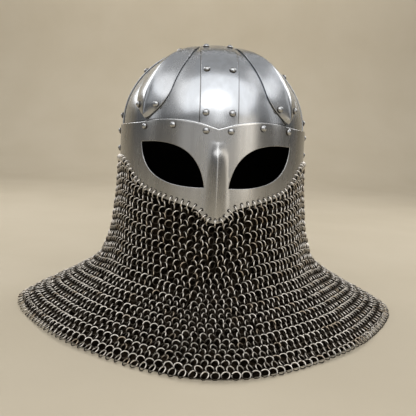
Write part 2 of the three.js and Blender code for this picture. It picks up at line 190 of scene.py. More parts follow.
def polished_iron(name, seams=(), colours=(IRON_COLOUR, IRON_WARM, IRON_DARK), filed_edge_highlights=()):
    """Satin iron plate: upright brush lines, cloudy patches, faint warm stains and a hammered wave."""
    finish, place, shader = new_finish(name)
    brush = noise(place, scale=620.0, detail=4.0, stretch=(1.0, 1.0, 0.05), roughness=0.65)
    coarse_brush = noise(place, scale=150.0, stretch=(1.0, 1.0, 0.07))
    cloud = noise(place, scale=22.0, detail=4.0, stretch=(1.0, 1.0, 0.6), roughness=0.55)
    cloud = cloud.between(0.36, 0.68)
    stain = noise(place, scale=48.0, detail=4.0, stretch=(1.0, 1.0, 0.5)).between(0.54, 0.8)
    clean, warm, dark = colours
    plate = (cloud * 0.75).blend(clean, warm)
    plate = (stain * 0.35).blend(plate, dark)
    plate = (coarse_brush.between(0.35, 0.7) * 0.35).blend(plate, dark)
    # Dirt and painted shade along the seams.
    for seam in seams:
        plate = seam(place).blend(plate, SEAM_DIRT_AND_SHADE)
    # Filed edges with a painted highlight.
    for edge in filed_edge_highlights:
        plate = edge(place).blend(plate, FILED_EDGE_HIGHLIGHT)
    feed(shader, "Base Color", plate)
    feed(shader, "Roughness", 0.19 + cloud * 0.06 + brush * 0.08 + stain * 0.05)
    hammer = noise(place, scale=26.0, detail=1.0)
    height = brush * 0.03 + coarse_brush * 0.06 + hammer * 0.16
    bumped = place.node("ShaderNodeBump", None, Height=height, Strength=0.12, Distance=0.0012)
    feed(shader, "Normal", bumped)
    shader.inputs["Metallic"].default_value = 1.0
    return finish


def blackened_iron():
    """The inside of the helmet: matt, nearly black, a little patchy."""
    finish, place, shader = new_finish("blackened_iron")
    patches = noise(place, scale=180.0, detail=5.0).between(0.35, 0.7)
    feed(shader, "Base Color", patches.blend(INSIDE_BLACK, INSIDE_BROWN))
    feed(shader, "Roughness", 0.65 + patches * 0.2)
    shader.inputs["Metallic"].default_value = 0.6
    return finish


BOWL_IRON = polished_iron("bowl_iron", [strap_seam_dirt_and_shade, brow_seam_dirt_and_shade])
BLACK_IRON = blackened_iron()


def make_piece(name, points, triangles, finishes, finish_index=None, normals=None):
    """A mesh object from arrays of points in millimetres, riding on the part's one body."""
    mesh = bpy.data.meshes.new(name)
    mesh.vertices.add(len(points))
    mesh.vertices.foreach_set("co", (np.asarray(points) * MM).astype(np.float32).ravel())
    mesh.loops.add(3 * len(triangles))
    mesh.loops.foreach_set("vertex_index", np.asarray(triangles, dtype=np.int32).ravel())
    mesh.polygons.add(len(triangles))
    mesh.polygons.foreach_set("loop_start", np.arange(0, 3 * len(triangles), 3, dtype=np.int32))
    if finish_index is not None:
        mesh.polygons.foreach_set("material_index", np.asarray(finish_index, dtype=np.int32))
    mesh.update(calc_edges=True)
    mesh.shade_smooth()
    if normals is not None:
        mesh.normals_split_custom_set_from_vertices(normals.tolist())
    for finish in finishes:
        mesh.materials.append(finish)
    piece = bpy.data.objects.new(name, mesh)
    bpy.context.collection.objects.link(piece)
    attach(piece, "root")
    return piece


def dome_point(angle, elevation, lift, drop=0.0):
    """Points on the dome, or on the upright wall where drop is more than zero."""
    turn = np.radians(angle)
    rise = np.radians(elevation)
    x = (SKULL_HALF_WIDTH + lift) * np.cos(rise) * np.sin(turn)
    y = -(SKULL_HALF_LENGTH + lift) * np.cos(rise) * np.cos(turn)
    z = BROW_Z + (SKULL_HEIGHT + lift) * np.sin(rise) - drop
    return np.stack(np.broadcast_arrays(x, y, z), axis=-1)


def unit(vectors):
    return vectors / np.maximum(np.linalg.norm(vectors, axis=-1, keepdims=True), 1e-12)


def grid_triangles(columns, rows, closed):
    """Triangles of a grid whose points run row by row within each column."""
    spans = columns if closed else columns - 1
    i, j = np.meshgrid(np.arange(spans), np.arange(rows - 1), indexing="ij")
    a = i * rows + j
    b = ((i + 1) % columns) * rows + j
    first = np.stack([a, b, b + 1], axis=-1)
    second = np.stack([a, b + 1, a + 1], axis=-1)
    return np.concatenate([first.reshape(-1, 3), second.reshape(-1, 3)])


def weld(piece):
    """Joins the points that meet at a pole, and drops the faces that vanish there."""
    shape = bmesh.new()
    shape.from_mesh(piece.data)
    bmesh.ops.remove_doubles(shape, verts=shape.verts, dist=WELD_REACH * MM)
    shape.to_mesh(piece.data)
    shape.free()


def make_skull():
    inside = [(row, 0.0, -SHEET) for row in np.linspace(90.0, 0.0, SKULL_ROWS)]
    outside = [(row, 0.0, 0.0) for row in np.linspace(0.0, 90.0, SKULL_ROWS)]
    rim = [
        (0.0, SKULL_WALL_DROP - EDGE_ROUND, -SHEET),
        (0.0, SKULL_WALL_DROP, -SHEET + EDGE_ROUND),
        (0.0, SKULL_WALL_DROP, -EDGE_ROUND),
        (0.0, SKULL_WALL_DROP - EDGE_ROUND, 0.0),
    ]
    profile = np.array(inside + rim + outside)
    angles = np.linspace(0.0, 360.0, SKULL_COLUMNS, endpoint=False)[:, None]
    elevation, drop, lift = profile.T
    points = dome_point(angles, elevation, lift, drop)
    triangles = grid_triangles(SKULL_COLUMNS, len(profile), closed=True)
    row = triangles.min(axis=1) % len(profile)
    is_inside = row < len(inside)
    bowl = make_piece("skull_bowl", points.reshape(-1, 3), triangles, [BOWL_IRON, BLACK_IRON], is_inside)
    weld(bowl)
    return bowl


skull = make_skull()
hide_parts("skull")


# Straps
# Flat iron straps cross the bowl, one from brow to nape and one down each side, and hold the dome in a
# cage. They are sheared from sheet, bent to the bowl, filed along their edges and riveted in pairs.
SEAM = 0.35
STRAP_LIFT = SEAM
STRAP_WIDTH = 34.0
FRONT_STRAP_DROP = 9.0
SIDE_STRAP_DROP = 33.5
CREST_ARC = math.pi * math.hypot(SKULL_HALF_LENGTH, SKULL_HEIGHT) / math.sqrt(2.0)
SIDE_ARC = 0.5 * math.pi * math.hypot(SKULL_HALF_WIDTH, SKULL_HEIGHT) / math.sqrt(2.0)
STRAP_STEP = 2.0
PLATE_GRID = 2.6
GRID_CLEARANCE = 0.55
SAME_POINT = 1e-6
SLOPE_STEP = 0.05
STRAP_IRON = polished_iron("strap_iron", [brow_seam_dirt_and_shade])


def crest_point(across, along, lift):
    """The crest strap by its width and its length from the front brow, over the crown, to the rear."""
    angle = np.radians(np.clip(along / CREST_ARC, 0.0, 1.0) * 180.0)
    drop = np.maximum(0.0, -along) + np.maximum(0.0, along - CREST_ARC)
    shrink = np.sqrt(1.0 - (across / (SKULL_HALF_WIDTH + lift)) ** 2)
    y = -(SKULL_HALF_LENGTH + lift) * np.cos(angle) * shrink
    z = BROW_Z + (SKULL_HEIGHT + lift) * np.sin(angle) * shrink - drop
    return np.stack(np.broadcast_arrays(across, y, z), axis=-1)


def side_strap_point(hand, across, along, lift):
    """A side strap by its width and its length up from the side brow."""
    angle = np.radians(np.maximum(0.0, along / SIDE_ARC) * 90.0)
    drop = np.maximum(0.0, -along)
    shrink = np.sqrt(1.0 - (across / (SKULL_HALF_LENGTH + lift)) ** 2)
    x = hand * (SKULL_HALF_WIDTH + lift) * np.cos(angle) * shrink
    z = BROW_Z + (SKULL_HEIGHT + lift) * np.sin(angle) * shrink - drop
    return np.stack(np.broadcast_arrays(x, across, z), axis=-1)


def side_strap_surface(hand):
    return lambda across, along, lift: side_strap_point(hand, across, along, lift)


def offset_loop(loop, distance):
    """A closed outline moved sideways, inwards if it runs anticlockwise, and its outward directions."""
    ahead = np.roll(loop, -1, axis=0) - loop
    side = unit(np.stack([-ahead[:, 1], ahead[:, 0]], axis=-1))
    corner = unit(side + np.roll(side, 1, axis=0))
    stretch = np.maximum(0.5, (corner * side).sum(axis=1, keepdims=True))
    return loop + corner * distance / stretch, -corner


def is_inside_loop(points, loop):
    """Even and odd crossing test of many points against one outline."""
    x, y = points[:, :1], points[:, 1:]
    ax, ay = loop.T
    bx, by = np.roll(loop, -1, axis=0).T
    spans = (ay > y) != (by > y)
    safe_rise = np.where(by == ay, 1.0, by - ay)
    crossing = ax + (y - ay) / safe_rise * (bx - ax)
    return (spans & (x < crossing)).sum(axis=1) % 2 == 1


def loop_edges(loop, start):
    count = len(loop)
    return [(start + index, start + (index + 1) % count) for index in range(count)]


def is_on_plate(points, inset):
    """Which flat points lie inside a plate's outline and outside its holes."""
    kept = is_inside_loop(points, inset[0][0])
    for face_loop, _ in inset[1:]:
        kept &= ~is_inside_loop(points, face_loop)
    return kept


def plate_lattice(outline, inset, creases, grid):
    """An even grid of points over a plate, a little way off its edges and creases."""
    low, high = outline.min(axis=0), outline.max(axis=0)
    across = np.arange(low[0] + grid / 2, high[0], grid)
    along = np.arange(low[1] + grid / 2, high[1], grid)
    lattice = np.stack(np.meshgrid(across, along), axis=-1).reshape(-1, 2)
    lattice = lattice[is_on_plate(lattice, inset)]
    gap = np.full(len(lattice), np.inf)
    for point in np.concatenate([*[face_loop for face_loop, _ in inset], *creases]):
        gap = np.minimum(gap, np.abs(lattice - point).max(axis=1))
    return lattice[gap > GRID_CLEARANCE * grid]


def plate_net(outline, inset, creases, grid):
    """A plate's flat points, its triangles, and the numbers of the points along its edges."""
    face_loops = [face_loop for face_loop, _ in inset]
    flat = np.concatenate([*face_loops, *creases, plate_lattice(outline, inset, creases, grid)])
    edges = []
    start = 0
    for face_loop in face_loops:
        edges += loop_edges(face_loop, start)
        start += len(face_loop)
    rim_count = start
    for crease in creases:
        edges += [(start + index, start + index + 1) for index in range(len(crease) - 1)]
        start += len(crease)
    made = delaunay_2d_cdt([Vector(point) for point in flat.tolist()], edges, [], 0, SAME_POINT)
    flat = np.array([tuple(point) for point in made[0]])
    faces = np.array(made[2])
    source = {old: new for new, olds in enumerate(made[3]) for old in olds}
    on_rim = [source[index] for index in range(rim_count)]
    faces = faces[is_on_plate(flat[faces].mean(axis=1), inset)]
    used = np.unique(np.concatenate([faces.ravel(), on_rim]))
    renumber = np.full(len(flat), -1)
    renumber[used] = np.arange(len(used))
    return flat[used], renumber[faces], renumber[on_rim]


def plate_slopes(surface, points, lift):
    """A surface's two directions and outward normals at flat points, and the sign that turned them out."""
    shift_u, shift_v = np.array([SLOPE_STEP, 0.0]), np.array([0.0, SLOPE_STEP])
    du = surface(*(points + shift_u).T, lift) - surface(*(points - shift_u).T, lift)
    dv = surface(*(points + shift_v).T, lift) - surface(*(points - shift_v).T, lift)
    facing = surface(*points.T, lift + SLOPE_STEP) - surface(*points.T, lift)
    normal = unit(np.cross(du, dv))
    flip = np.sign((normal * facing).sum(axis=1, keepdims=True))
    return du, dv, normal * flip, flip


def make_plate(
    name, outline, holes, surface, lifts, creases=(), grid=PLATE_GRID, edge=EDGE_ROUND, iron=STRAP_IRON
):
    """A sheet plate with rounded edges, cut to an outline and pierced by holes.

    The outline runs anticlockwise and the holes clockwise, in the plate's own flat coordinates. surface
    takes those coordinates and a lift, and gives points in space. lifts are the two faces' heights.
    """
    low, high = lifts
    loops = [outline, *holes]
    inset = [offset_loop(loop, edge) for loop in loops]
    flat, faces, on_rim = plate_net(outline, inset, creases, grid)
    _, _, outer_normal, flip = plate_slopes(surface, flat, high)
    points = [surface(*flat.T, high), surface(*flat.T, low)]
    normals = [outer_normal, -outer_normal]
    triangles = [faces, faces[:, ::-1] + len(flat)]
    finish_index = [np.zeros(len(faces), int), np.ones(len(faces), int)]
    offset = 2 * len(flat)
    start = 0
    for loop, (_, outwards) in zip(loops, inset):
        count = len(loop)
        du, dv, _, _ = plate_slopes(surface, loop, high)
        wall_normal = unit(du * outwards[:, :1] + dv * outwards[:, 1:])
        points += [surface(*loop.T, high - edge), surface(*loop.T, low + edge)]
        normals += [wall_normal, wall_normal]
        top = on_rim[start : start + count]
        rings = [top, offset + np.arange(count), offset + count + np.arange(count), top + len(flat)]
        for upper, lower in zip(rings, rings[1:]):
            a, b = upper, np.roll(upper, -1)
            c, d = np.roll(lower, -1), lower
            triangles += [np.stack([a, d, c], axis=-1), np.stack([a, c, b], axis=-1)]
            finish_index += [np.zeros(2 * count, int)]
        offset += 2 * count
        start += count
    triangles = np.concatenate(triangles)
    if flip.mean() < 0:
        triangles = triangles[:, ::-1]
    finish_index = np.concatenate(finish_index)
    normals = np.concatenate(normals)
    return make_piece(name, np.concatenate(points), triangles, [iron, BLACK_IRON], finish_index, normals)


def strip_outline(half_width, low, high):
    """A rectangle that runs anticlockwise, with points along its sides."""
    across = np.linspace(-half_width, half_width, max(2, round(2 * half_width / STRAP_STEP)) + 1)
    along = np.linspace(low, high, max(2, round((high - low) / STRAP_STEP)) + 1)
    bottom = np.stack([across, np.full(len(across), low)], axis=-1)[:-1]
    right = np.stack([np.full(len(along), half_width), along], axis=-1)[:-1]
    top = np.stack([across[::-1], np.full(len(across), high)], axis=-1)[:-1]
    left = np.stack([np.full(len(along), -half_width), along[::-1]], axis=-1)[:-1]
    return np.concatenate([bottom, right, top, left])


HANDS = (("left", 1.0), ("right", -1.0))
STRAP_FACES = (STRAP_LIFT, STRAP_LIFT + SHEET)
crest_outline = strip_outline(STRAP_WIDTH / 2, -FRONT_STRAP_DROP, CREST_ARC + SIDE_STRAP_DROP)
crest = make_plate("strap_crest", crest_outline, [], crest_point, STRAP_FACES)
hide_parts("crest_strap")
crown_reach = STRAP_WIDTH / 2 + 2 * SEAM
side_top = SIDE_ARC * math.acos(crown_reach / SKULL_HALF_WIDTH) / (math.pi / 2)
for hand_name, hand in HANDS:
    side_outline = strip_outline(STRAP_WIDTH / 2, -SIDE_STRAP_DROP, side_top)
    surface = side_strap_surface(hand)
    side_strap = make_plate(f"strap_side_{hand_name}", side_outline, [], surface, STRAP_FACES)
    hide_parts(f"side_strap_{hand_name}")


# Ribs
# A leaf-shaped plate stands on each quarter of the dome between the straps. It is raised along its middle
# into a rounded crest, which stiffens the bowl, and a rivet holds each flank near its lower point.
RIB_ANGLE = 44.0
RIB_CREST_ROUND = 0.14
RIB_FLANK_BEND = 1.2
DOME_ARC_DEGREE = 1.62
RIB_GRID = 1.8
RIB_EDGE_POINTS = 64
RIB_CREST_POINTS = 50
RIB_CREST_INSET = 1.0
RIB_LENGTHWISE = {
    "elevation": (3.2, 5.0, 8.7, 12.6, 19.0, 26.0, 41.0, 50.5, 59.0, 66.0, 71.0),
    "half_width": (0.8, 4.8, 12.2, 18.3, 23.2, 24.0, 21.8, 18.7, 13.6, 8.5, 4.0),
    "ridge": (0.6, 3.3, 4.0, 4.7, 5.4, 5.6, 5.3, 4.3, 2.7, 1.3, 0.5),
}
QUARTERS = (
    ("front_left", 1.0, 1.0),
    ("front_right", -1.0, 1.0),
    ("back_left", 1.0, -1.0),
    ("back_right", -1.0, -1.0),
)


def read_table(table, key, column, value):
    """Reads a table's column on a smooth curve through its rows."""
    keys = np.array(table[key], dtype=float)
    values = np.array(table[column], dtype=float)
    last = len(keys) - 1
    before = np.maximum(np.arange(len(keys)) - 1, 0)
    after = np.minimum(np.arange(len(keys)) + 1, last)
    slope = (values[after] - values[before]) / (keys[after] - keys[before])
    row = np.clip(np.searchsorted(keys, value) - 1, 0, last - 1)
    span = keys[row + 1] - keys[row]
    share = np.clip((value - keys[row]) / span, 0.0, 1.0)
    rise = values[row + 1] - values[row]
    bend = slope[row] * span - rise
    counter_bend = rise - slope[row + 1] * span
    curve = share * (1.0 - share) * (bend * (1.0 - share) + counter_bend * share)
    return values[row] + share * rise + curve


def rib_raise(share):
    """Height of the rib across its width, from one at the crest to nothing at its edges."""
    reach = math.hypot(1.0, RIB_CREST_ROUND) - RIB_CREST_ROUND
    fall = (np.sqrt(share**2 + RIB_CREST_ROUND**2) - RIB_CREST_ROUND) / reach
    return np.maximum(0.0, 1.0 - fall) ** RIB_FLANK_BEND


def rib_point(hand, front, across, along, lift):
    """A rib by its width and its length up the dome, both in millimetres."""
    elevation = along / DOME_ARC_DEGREE
    half_width = read_table(RIB_LENGTHWISE, "elevation", "half_width", elevation)
    ridge = read_table(RIB_LENGTHWISE, "elevation", "ridge", elevation)
    middle = math.radians(RIB_ANGLE)
    turn = math.hypot(SKULL_HALF_WIDTH * math.cos(middle), SKULL_HALF_LENGTH * math.sin(middle))
    angle = RIB_ANGLE + np.degrees(across / (turn * np.cos(np.radians(elevation))))
    point = dome_point(angle, elevation, lift + ridge * rib_raise(across / half_width))
    return point * np.array([hand, front, 1.0])


def rib_surface(hand, front):
    return lambda across, along, lift: rib_point(hand, front, across, along, lift)


def rib_outline():
    low, high = RIB_LENGTHWISE["elevation"][0], RIB_LENGTHWISE["elevation"][-1]
    along = np.linspace(low, high, RIB_EDGE_POINTS)
    half_width = read_table(RIB_LENGTHWISE, "elevation", "half_width", along)
    right = np.stack([half_width, along * DOME_ARC_DEGREE], axis=-1)
    left = right[::-1] * np.array([-1.0, 1.0])
    return np.concatenate([right, left])


rib_low = RIB_LENGTHWISE["elevation"][0] * DOME_ARC_DEGREE + RIB_CREST_INSET
rib_high = RIB_LENGTHWISE["elevation"][-1] * DOME_ARC_DEGREE - RIB_CREST_INSET
crest_run = np.linspace(rib_low, rib_high, RIB_CREST_POINTS)
crest_line = np.stack([np.zeros(RIB_CREST_POINTS), crest_run], axis=-1)
for quarter, hand, front in QUARTERS:
    surface = rib_surface(hand, front)
    name = f"leaf_rib_{quarter}"
    rib = make_plate(name, rib_outline(), [], surface, STRAP_FACES, [crest_line], RIB_GRID)
    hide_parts(f"rib_{quarter}")


# Spectacle mask
# The front half of the rim is one plate: brow arcs over the bowl's edge, two almond eye openings, cheeks
# and a nasal with a crease down its middle. Its lower edge is drilled all along to carry the mail.
MASK_SHEET = 1.4
MASK_LIFT = STRAP_LIFT + SHEET + SEAM
RIM_ARC_DEGREE = 1.85
PLATE_END = 89.9
MASK_BOTTOM = {
    "angle": (0.0, 4.5, 7.0, 9.5, 14.0, 22.0, 35.0, 41.5, 47.5, 54.0, 60.0, 68.0, 90.0),
    "height": (-86.0, -84.5, -80.0, -75.5, -72.5, -69.6, -64.5, -61.0, -56.0, -48.5, -41.0, -36.0, -36.0),
}
NASAL = {
    "height": (-90.0, -60.0, -36.0, -27.0, -20.0, -13.0),
    "ridge": (5.6, 6.0, 5.4, 4.2, 1.6, 0.0),
    "half_width": (13.0, 11.0, 10.0, 9.5, 9.0, 9.0),
}
NASAL_CREASE_ROUND = 0.45
NASAL_FLANK_BEND = 1.5
MASK_EDGE_ROUND = 0.65
EYE_INNER_CORNER = (11.2, -54.3)
EYE_CURVES = (
    ((15.1, -27.5), (30.6, -11.4), (70.1, -16.5)),
    ((69.1, -51.2), (40.5, -55.2), EYE_INNER_CORNER),
)
EYE_STEP = 1.2
EYE_CURVE_POINTS = 60
CREASE_SPAN = (-80.0, -8.0)
CREASE_LINES = (-0.7, 0.0, 0.7)
CREASE_POINTS = 60
RIM_STEP = 1.6
RIM_HALF_SAMPLES = 361
RIM_SAMPLES = 721
RIM_HOLE_RADIUS = 1.15
RIM_HOLE_INSET = 4.0
RIM_HOLE_PITCH = 6.3
RIM_HOLE_SIDES = 12
RIM_HOLE_END = 88.5
# The mask and nape band take a darker copy of the bowl's iron colours: painted shade.
MASK_SHADED_COLOURS = ((0.50, 0.505, 0.51, 1.0), (0.50, 0.49, 0.475, 1.0), (0.33, 0.33, 0.325, 1.0))
BROW_HIGHLIGHT_REACH = (-1.3, -0.7)


def brow_edge_highlight(place):
    """The top edge of the plates round the rim, filed, with a painted highlight along it."""
    return above_brow(place).between(*BROW_HIGHLIGHT_REACH)


MASK_IRON = polished_iron("mask_iron", (), MASK_SHADED_COLOURS, [brow_edge_highlight])


def rim_point(angle, height, lift):
    """The plates' common surface by height: a dome above the brow plane, an upright wall below it."""
    rise = np.clip(height / (SKULL_HEIGHT + lift), 0.0, 1.0)
    elevation = np.degrees(np.arcsin(rise))
    return dome_point(angle, elevation, lift, np.maximum(0.0, -height))


def mask_point(along, height, lift):
    point = rim_point(along / RIM_ARC_DEGREE, height, lift)
    ridge = read_table(NASAL, "height", "ridge", height)
    half_width = read_table(NASAL, "height", "half_width", height)
    sideways = np.sqrt(point[..., 0] ** 2 + NASAL_CREASE_ROUND**2) - NASAL_CREASE_ROUND
    point[..., 1] -= ridge * np.maximum(0.0, 1.0 - sideways / half_width) ** NASAL_FLANK_BEND
    return point


def respace(line, step):
    """Even steps along a line of points."""
    run = np.concatenate([[0.0], np.cumsum(np.linalg.norm(np.diff(line, axis=0), axis=1))])
    count = max(2, round(run[-1] / step))
    places = np.linspace(0.0, run[-1], count + 1)
    return np.stack([np.interp(places, run, column) for column in line.T], axis=-1)


def mask_edge(table, angles):
    height = read_table(table, "angle", "height", np.abs(angles))
    return np.stack([angles * RIM_ARC_DEGREE, height], axis=-1)


def even_edge(edge_at):
    """An edge of the rim from left to right in even steps, with a point kept at its middle."""
    angles = np.linspace(0.0, PLATE_END, RIM_HALF_SAMPLES)
    left = respace(edge_at(-angles[::-1]), RIM_STEP)
    right = respace(edge_at(angles), RIM_STEP)
    return np.concatenate([left[:-1], right])


def rim_outline(bottom, top):
    """A plate's outline from its lower and upper edges, both from left to right."""
    right = respace(np.stack([bottom[-1], top[-1]]), RIM_STEP)
    left = respace(np.stack([top[0], bottom[0]]), RIM_STEP)
    return np.concatenate([bottom[:-1], right[:-1], top[:0:-1], left[:-1]])


def mask_outline():
    bottom = even_edge(lambda angles: mask_edge(MASK_BOTTOM, angles))
    top = even_edge(lambda angles: mask_edge(MASK_TOP, angles))
    return rim_outline(bottom, top)


def bezier(start, first, second, end, count):
    share = np.linspace(0.0, 1.0, count)[:, None]
    rest = 1.0 - share
    corners = [np.array(corner) for corner in (start, first, second, end)]
    weights = (rest**3, 3 * rest**2 * share, 3 * rest * share**2, share**3)
    return sum(weight * corner for weight, corner in zip(weights, corners))


def eye_hole(hand):
    """An eye opening as it is seen from the front, wrapped on to the plate; it runs clockwise."""
    stretches = []
    start = EYE_INNER_CORNER
    for first, second, end in EYE_CURVES:
        curve = bezier(start, first, second, end, EYE_CURVE_POINTS)
        stretches.append(respace(curve, EYE_STEP)[:-1])
        start = end
    seen = np.concatenate(stretches)
    angle = np.degrees(np.arcsin(seen[:, 0] / (SKULL_HALF_WIDTH + MASK_LIFT + MASK_SHEET)))
    flat = np.stack([hand * angle * RIM_ARC_DEGREE, seen[:, 1]], axis=-1)
    return flat if hand > 0 else flat[::-1]


def rim_holes(edge):
    """Small round holes a little above a lower edge that runs from left to right; each runs clockwise."""
    centres = respace(edge, RIM_HOLE_PITCH)
    along = unit(np.gradient(centres, axis=0))
    centres = centres + RIM_HOLE_INSET * np.stack([-along[:, 1], along[:, 0]], axis=-1)
    turn = -np.linspace(0.0, 2 * math.pi, RIM_HOLE_SIDES, endpoint=False)
    circle = RIM_HOLE_RADIUS * np.stack([np.cos(turn), np.sin(turn)], axis=-1)
    return centres, [centre + circle for centre in centres]


MASK_FACES = (MASK_LIFT, MASK_LIFT + MASK_SHEET)
rim_angles = np.linspace(-RIM_HOLE_END, RIM_HOLE_END, RIM_SAMPLES)
mask_hole_centres, mask_holes = rim_holes(mask_edge(MASK_BOTTOM, rim_angles))
crease_heights = np.linspace(*CREASE_SPAN, CREASE_POINTS)
creases = [np.stack([np.full(CREASE_POINTS, line), crease_heights], axis=-1) for line in CREASE_LINES]
pierced = [eye_hole(1.0), eye_hole(-1.0), *mask_holes]
mask = make_plate(
    "mask_plate",
    mask_outline(),
    pierced,
    mask_point,
    MASK_FACES,
    creases,
    edge=MASK_EDGE_ROUND,
    iron=MASK_IRON,
)
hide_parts("spectacle_mask")


# Nape band
# The rear half of the rim is a plain iron band that dips to guard the neck, butted against the mask over
# the side straps. It is riveted at its ends and at the nape, and drilled along its lower edge.
NAPE_BOTTOM = {
    "angle": (90.0, 98.0, 108.0, 120.0, 134.0, 152.0, 180.0),
    "height": (-36.0, -37.0, -47.0, -63.0, -75.0, -82.0, -84.0),
}
BAND_TOP = -1.0


def nape_point(along, height, lift):
    return rim_point(180.0 + along / RIM_ARC_DEGREE, height, lift)


def nape_edge(angles):
    height = read_table(NAPE_BOTTOM, "angle", "height", 180.0 - np.abs(angles))
    return np.stack([angles * RIM_ARC_DEGREE, height], axis=-1)


def nape_top_edge(angles):
    return np.stack([angles * RIM_ARC_DEGREE, np.full(len(angles), BAND_TOP)], axis=-1)


nape_hole_centres, nape_holes = rim_holes(nape_edge(rim_angles))
nape_bottom = even_edge(nape_edge)
nape_top = even_edge(nape_top_edge)
nape_outline = rim_outline(nape_bottom, nape_top)
nape = make_plate("nape_plate", nape_outline, nape_holes, nape_point, MASK_FACES, iron=MASK_IRON)
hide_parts("nape_band")


# Rivets
# Round-headed iron rivets join the plates. Each head was set hot and domed by hammer, so no two are quite
# alike, and dirt and painted shade darken the corner at the foot of each.
STRAP_RIVET_OFFSET = 11.8
RIVET_RADIUS = 3.2
RIVET_HEIGHT = 2.6
RIVET_FOOT = 0.35
RIVET_SIDES = 20
RIVET_RINGS = 7
RIVET_SIZE_SPREAD = 0.03
RIVET_TILT_SPREAD = 0.05
CREST_RIVETS = (("low", 12.0), ("high", 52.0), ("crown", 80.0))
SIDE_STRAP_RIVETS = (("low", 9.0), ("high", 56.0), ("crown", 78.0))
BAND_RIVETS = (("upper", -7.0), ("lower", -25.0))
NAPE_RIVET_HEIGHT = -14.0
BROW_RIVETS = (("inner", 11.0, -4.0), ("middle", 40.5, 0.0), ("outer", 67.0, -2.0))
RIB_RIVET_ELEVATION = 12.2
RIB_RIVET_SHARE = 0.7
RIVET_COLOUR = (0.42, 0.425, 0.43, 1.0)
# Dirt and painted shade at the foot of each rivet head.
RIVET_DIRT_AND_SHADE = (0.05, 0.042, 0.034, 1.0)
rivet_chance = np.random.default_rng(11)


def rivet_iron():
    """Bright hammered heads with dirt and painted shade round the foot."""
    finish, place, shader = new_finish("rivet_iron")
    foot = place.node("ShaderNodeAttribute", {"attribute_name": "foot"}, outlet=2)
    speckle = noise(place, scale=900.0, detail=4.0)
    # Dirt and painted shade darken each head towards its foot.
    dirt_and_shade = (foot + (speckle - 0.5) * 0.4).between(0.2, 0.6)
    feed(shader, "Base Color", dirt_and_shade.blend(RIVET_COLOUR, RIVET_DIRT_AND_SHADE))
    feed(shader, "Roughness", 0.14 + speckle * 0.1 + dirt_and_shade * 0.3)
    dents = noise(place, scale=420.0, detail=2.0)
    bumped = place.node("ShaderNodeBump", None, Height=dents, Strength=0.25, Distance=0.0006)
    feed(shader, "Normal", bumped)
    shader.inputs["Metallic"].default_value = 1.0
    return finish


RIVET_IRON = rivet_iron()


def seat_on(surface, u, v, lift):
    """A point on a plate's face and the direction that faces away from the head there."""
    step = 0.5
    corners = surface(np.array([u, u + step, u]), np.array([v, v, v + step]), lift)
    outward = unit(np.cross(corners[1] - corners[0], corners[2] - corners[0]))
    if outward @ (corners[0] - np.array([0.0, 0.0, BROW_Z])) < 0:
        outward = -outward
    return corners[0], outward


def across_of(axis):
    """Two directions square to an axis."""
    helper = np.array([0.0, 0.0, 1.0]) if abs(axis[2]) < 0.9 else np.array([1.0, 0.0, 0.0])
    first = unit(np.cross(helper, axis))
    return first, np.cross(axis, first)


def rivet_head(seat, outward):
    """Points, triangles and foot darkness of one domed head on its seat."""
    size = 1.0 + RIVET_SIZE_SPREAD * rivet_chance.standard_normal()
    axis = unit(outward + RIVET_TILT_SPREAD * rivet_chance.standard_normal(3))
    first, second = across_of(axis)
    rise = np.linspace(0.0, math.pi / 2, RIVET_RINGS + 1)[:-1]
    radius = np.concatenate([[RIVET_RADIUS], RIVET_RADIUS * np.cos(rise)]) * size
    height = np.concatenate([[-RIVET_FOOT], RIVET_HEIGHT * np.sin(rise)]) * size
    turn = np.linspace(0.0, 2 * math.pi, RIVET_SIDES, endpoint=False)
    spoke = np.cos(turn)[:, None] * first + np.sin(turn)[:, None] * second
    rings = seat + radius[None, :, None] * spoke[:, None, :] + height[None, :, None] * axis
    rows = len(radius)
    points = rings.reshape(-1, 3)
    foot_centre, top = len(points), len(points) + 1
    ends = [seat - RIVET_FOOT * size * axis, seat + RIVET_HEIGHT * size * axis]
    points = np.concatenate([points, ends])
    sides = grid_triangles(RIVET_SIDES, rows, closed=True)
    here = np.arange(RIVET_SIDES) * rows
    after = np.roll(here, -1)
    cap = np.stack([here + rows - 1, after + rows - 1, np.full(RIVET_SIDES, top)], axis=-1)
    floor_cap = np.stack([after, here, np.full(RIVET_SIDES, foot_centre)], axis=-1)
    dark = np.clip(1.0 - height / RIVET_HEIGHT, 0.0, 1.0) ** 2
    foot = np.concatenate([np.tile(dark, RIVET_SIDES), [1.0, 0.0]])
    return points, np.concatenate([sides, cap, floor_cap]), foot


def join(parts):
    """Joins (points, triangles, values) into one set of arrays."""
    counts = [len(points) for points, _, _ in parts]
    starts = np.concatenate([[0], np.cumsum(counts)[:-1]])
    points = np.concatenate([part[0] for part in parts])
    triangles = np.concatenate([part[1] + start for part, start in zip(parts, starts)])
    return points, triangles, np.concatenate([part[2] for part in parts])


def point_values(piece, name, values):
    attribute = piece.data.attributes.new(name, "FLOAT", "POINT")
    attribute.data.foreach_set("value", np.asarray(values, dtype=np.float32))


def make_rivets(name, seats):
    """One joined mesh of rivet heads; seats maps each rivet's own name to its seat."""
    points, triangles, foot = join([rivet_head(*seat) for seat in seats.values()])
    heads = make_piece(name, points, triangles, [RIVET_IRON])
    point_values(heads, "foot", foot)
    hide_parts(*[f"rivet_{rivet}" for rivet in seats])


ON_STRAP = STRAP_LIFT + SHEET
ON_MASK = MASK_LIFT + MASK_SHEET


def strap_run(height, arc, sweep=90.0):
    """Length along a strap at which its middle reaches a height above the brow plane."""
    return arc * math.degrees(math.asin(height / (SKULL_HEIGHT + ON_STRAP))) / sweep


crest_seats = {}
for rivet, height in CREST_RIVETS:
    for end in ("front", "back"):
        run = strap_run(height, CREST_ARC, 180.0)
        along = run if end == "front" else CREST_ARC - run
        for hand_name, hand in HANDS:
            seat = seat_on(crest_point, hand * STRAP_RIVET_OFFSET, along, ON_STRAP)
            crest_seats[f"crest_{end}_{rivet}_{hand_name}"] = seat
make_rivets("rivets_crest", crest_seats)

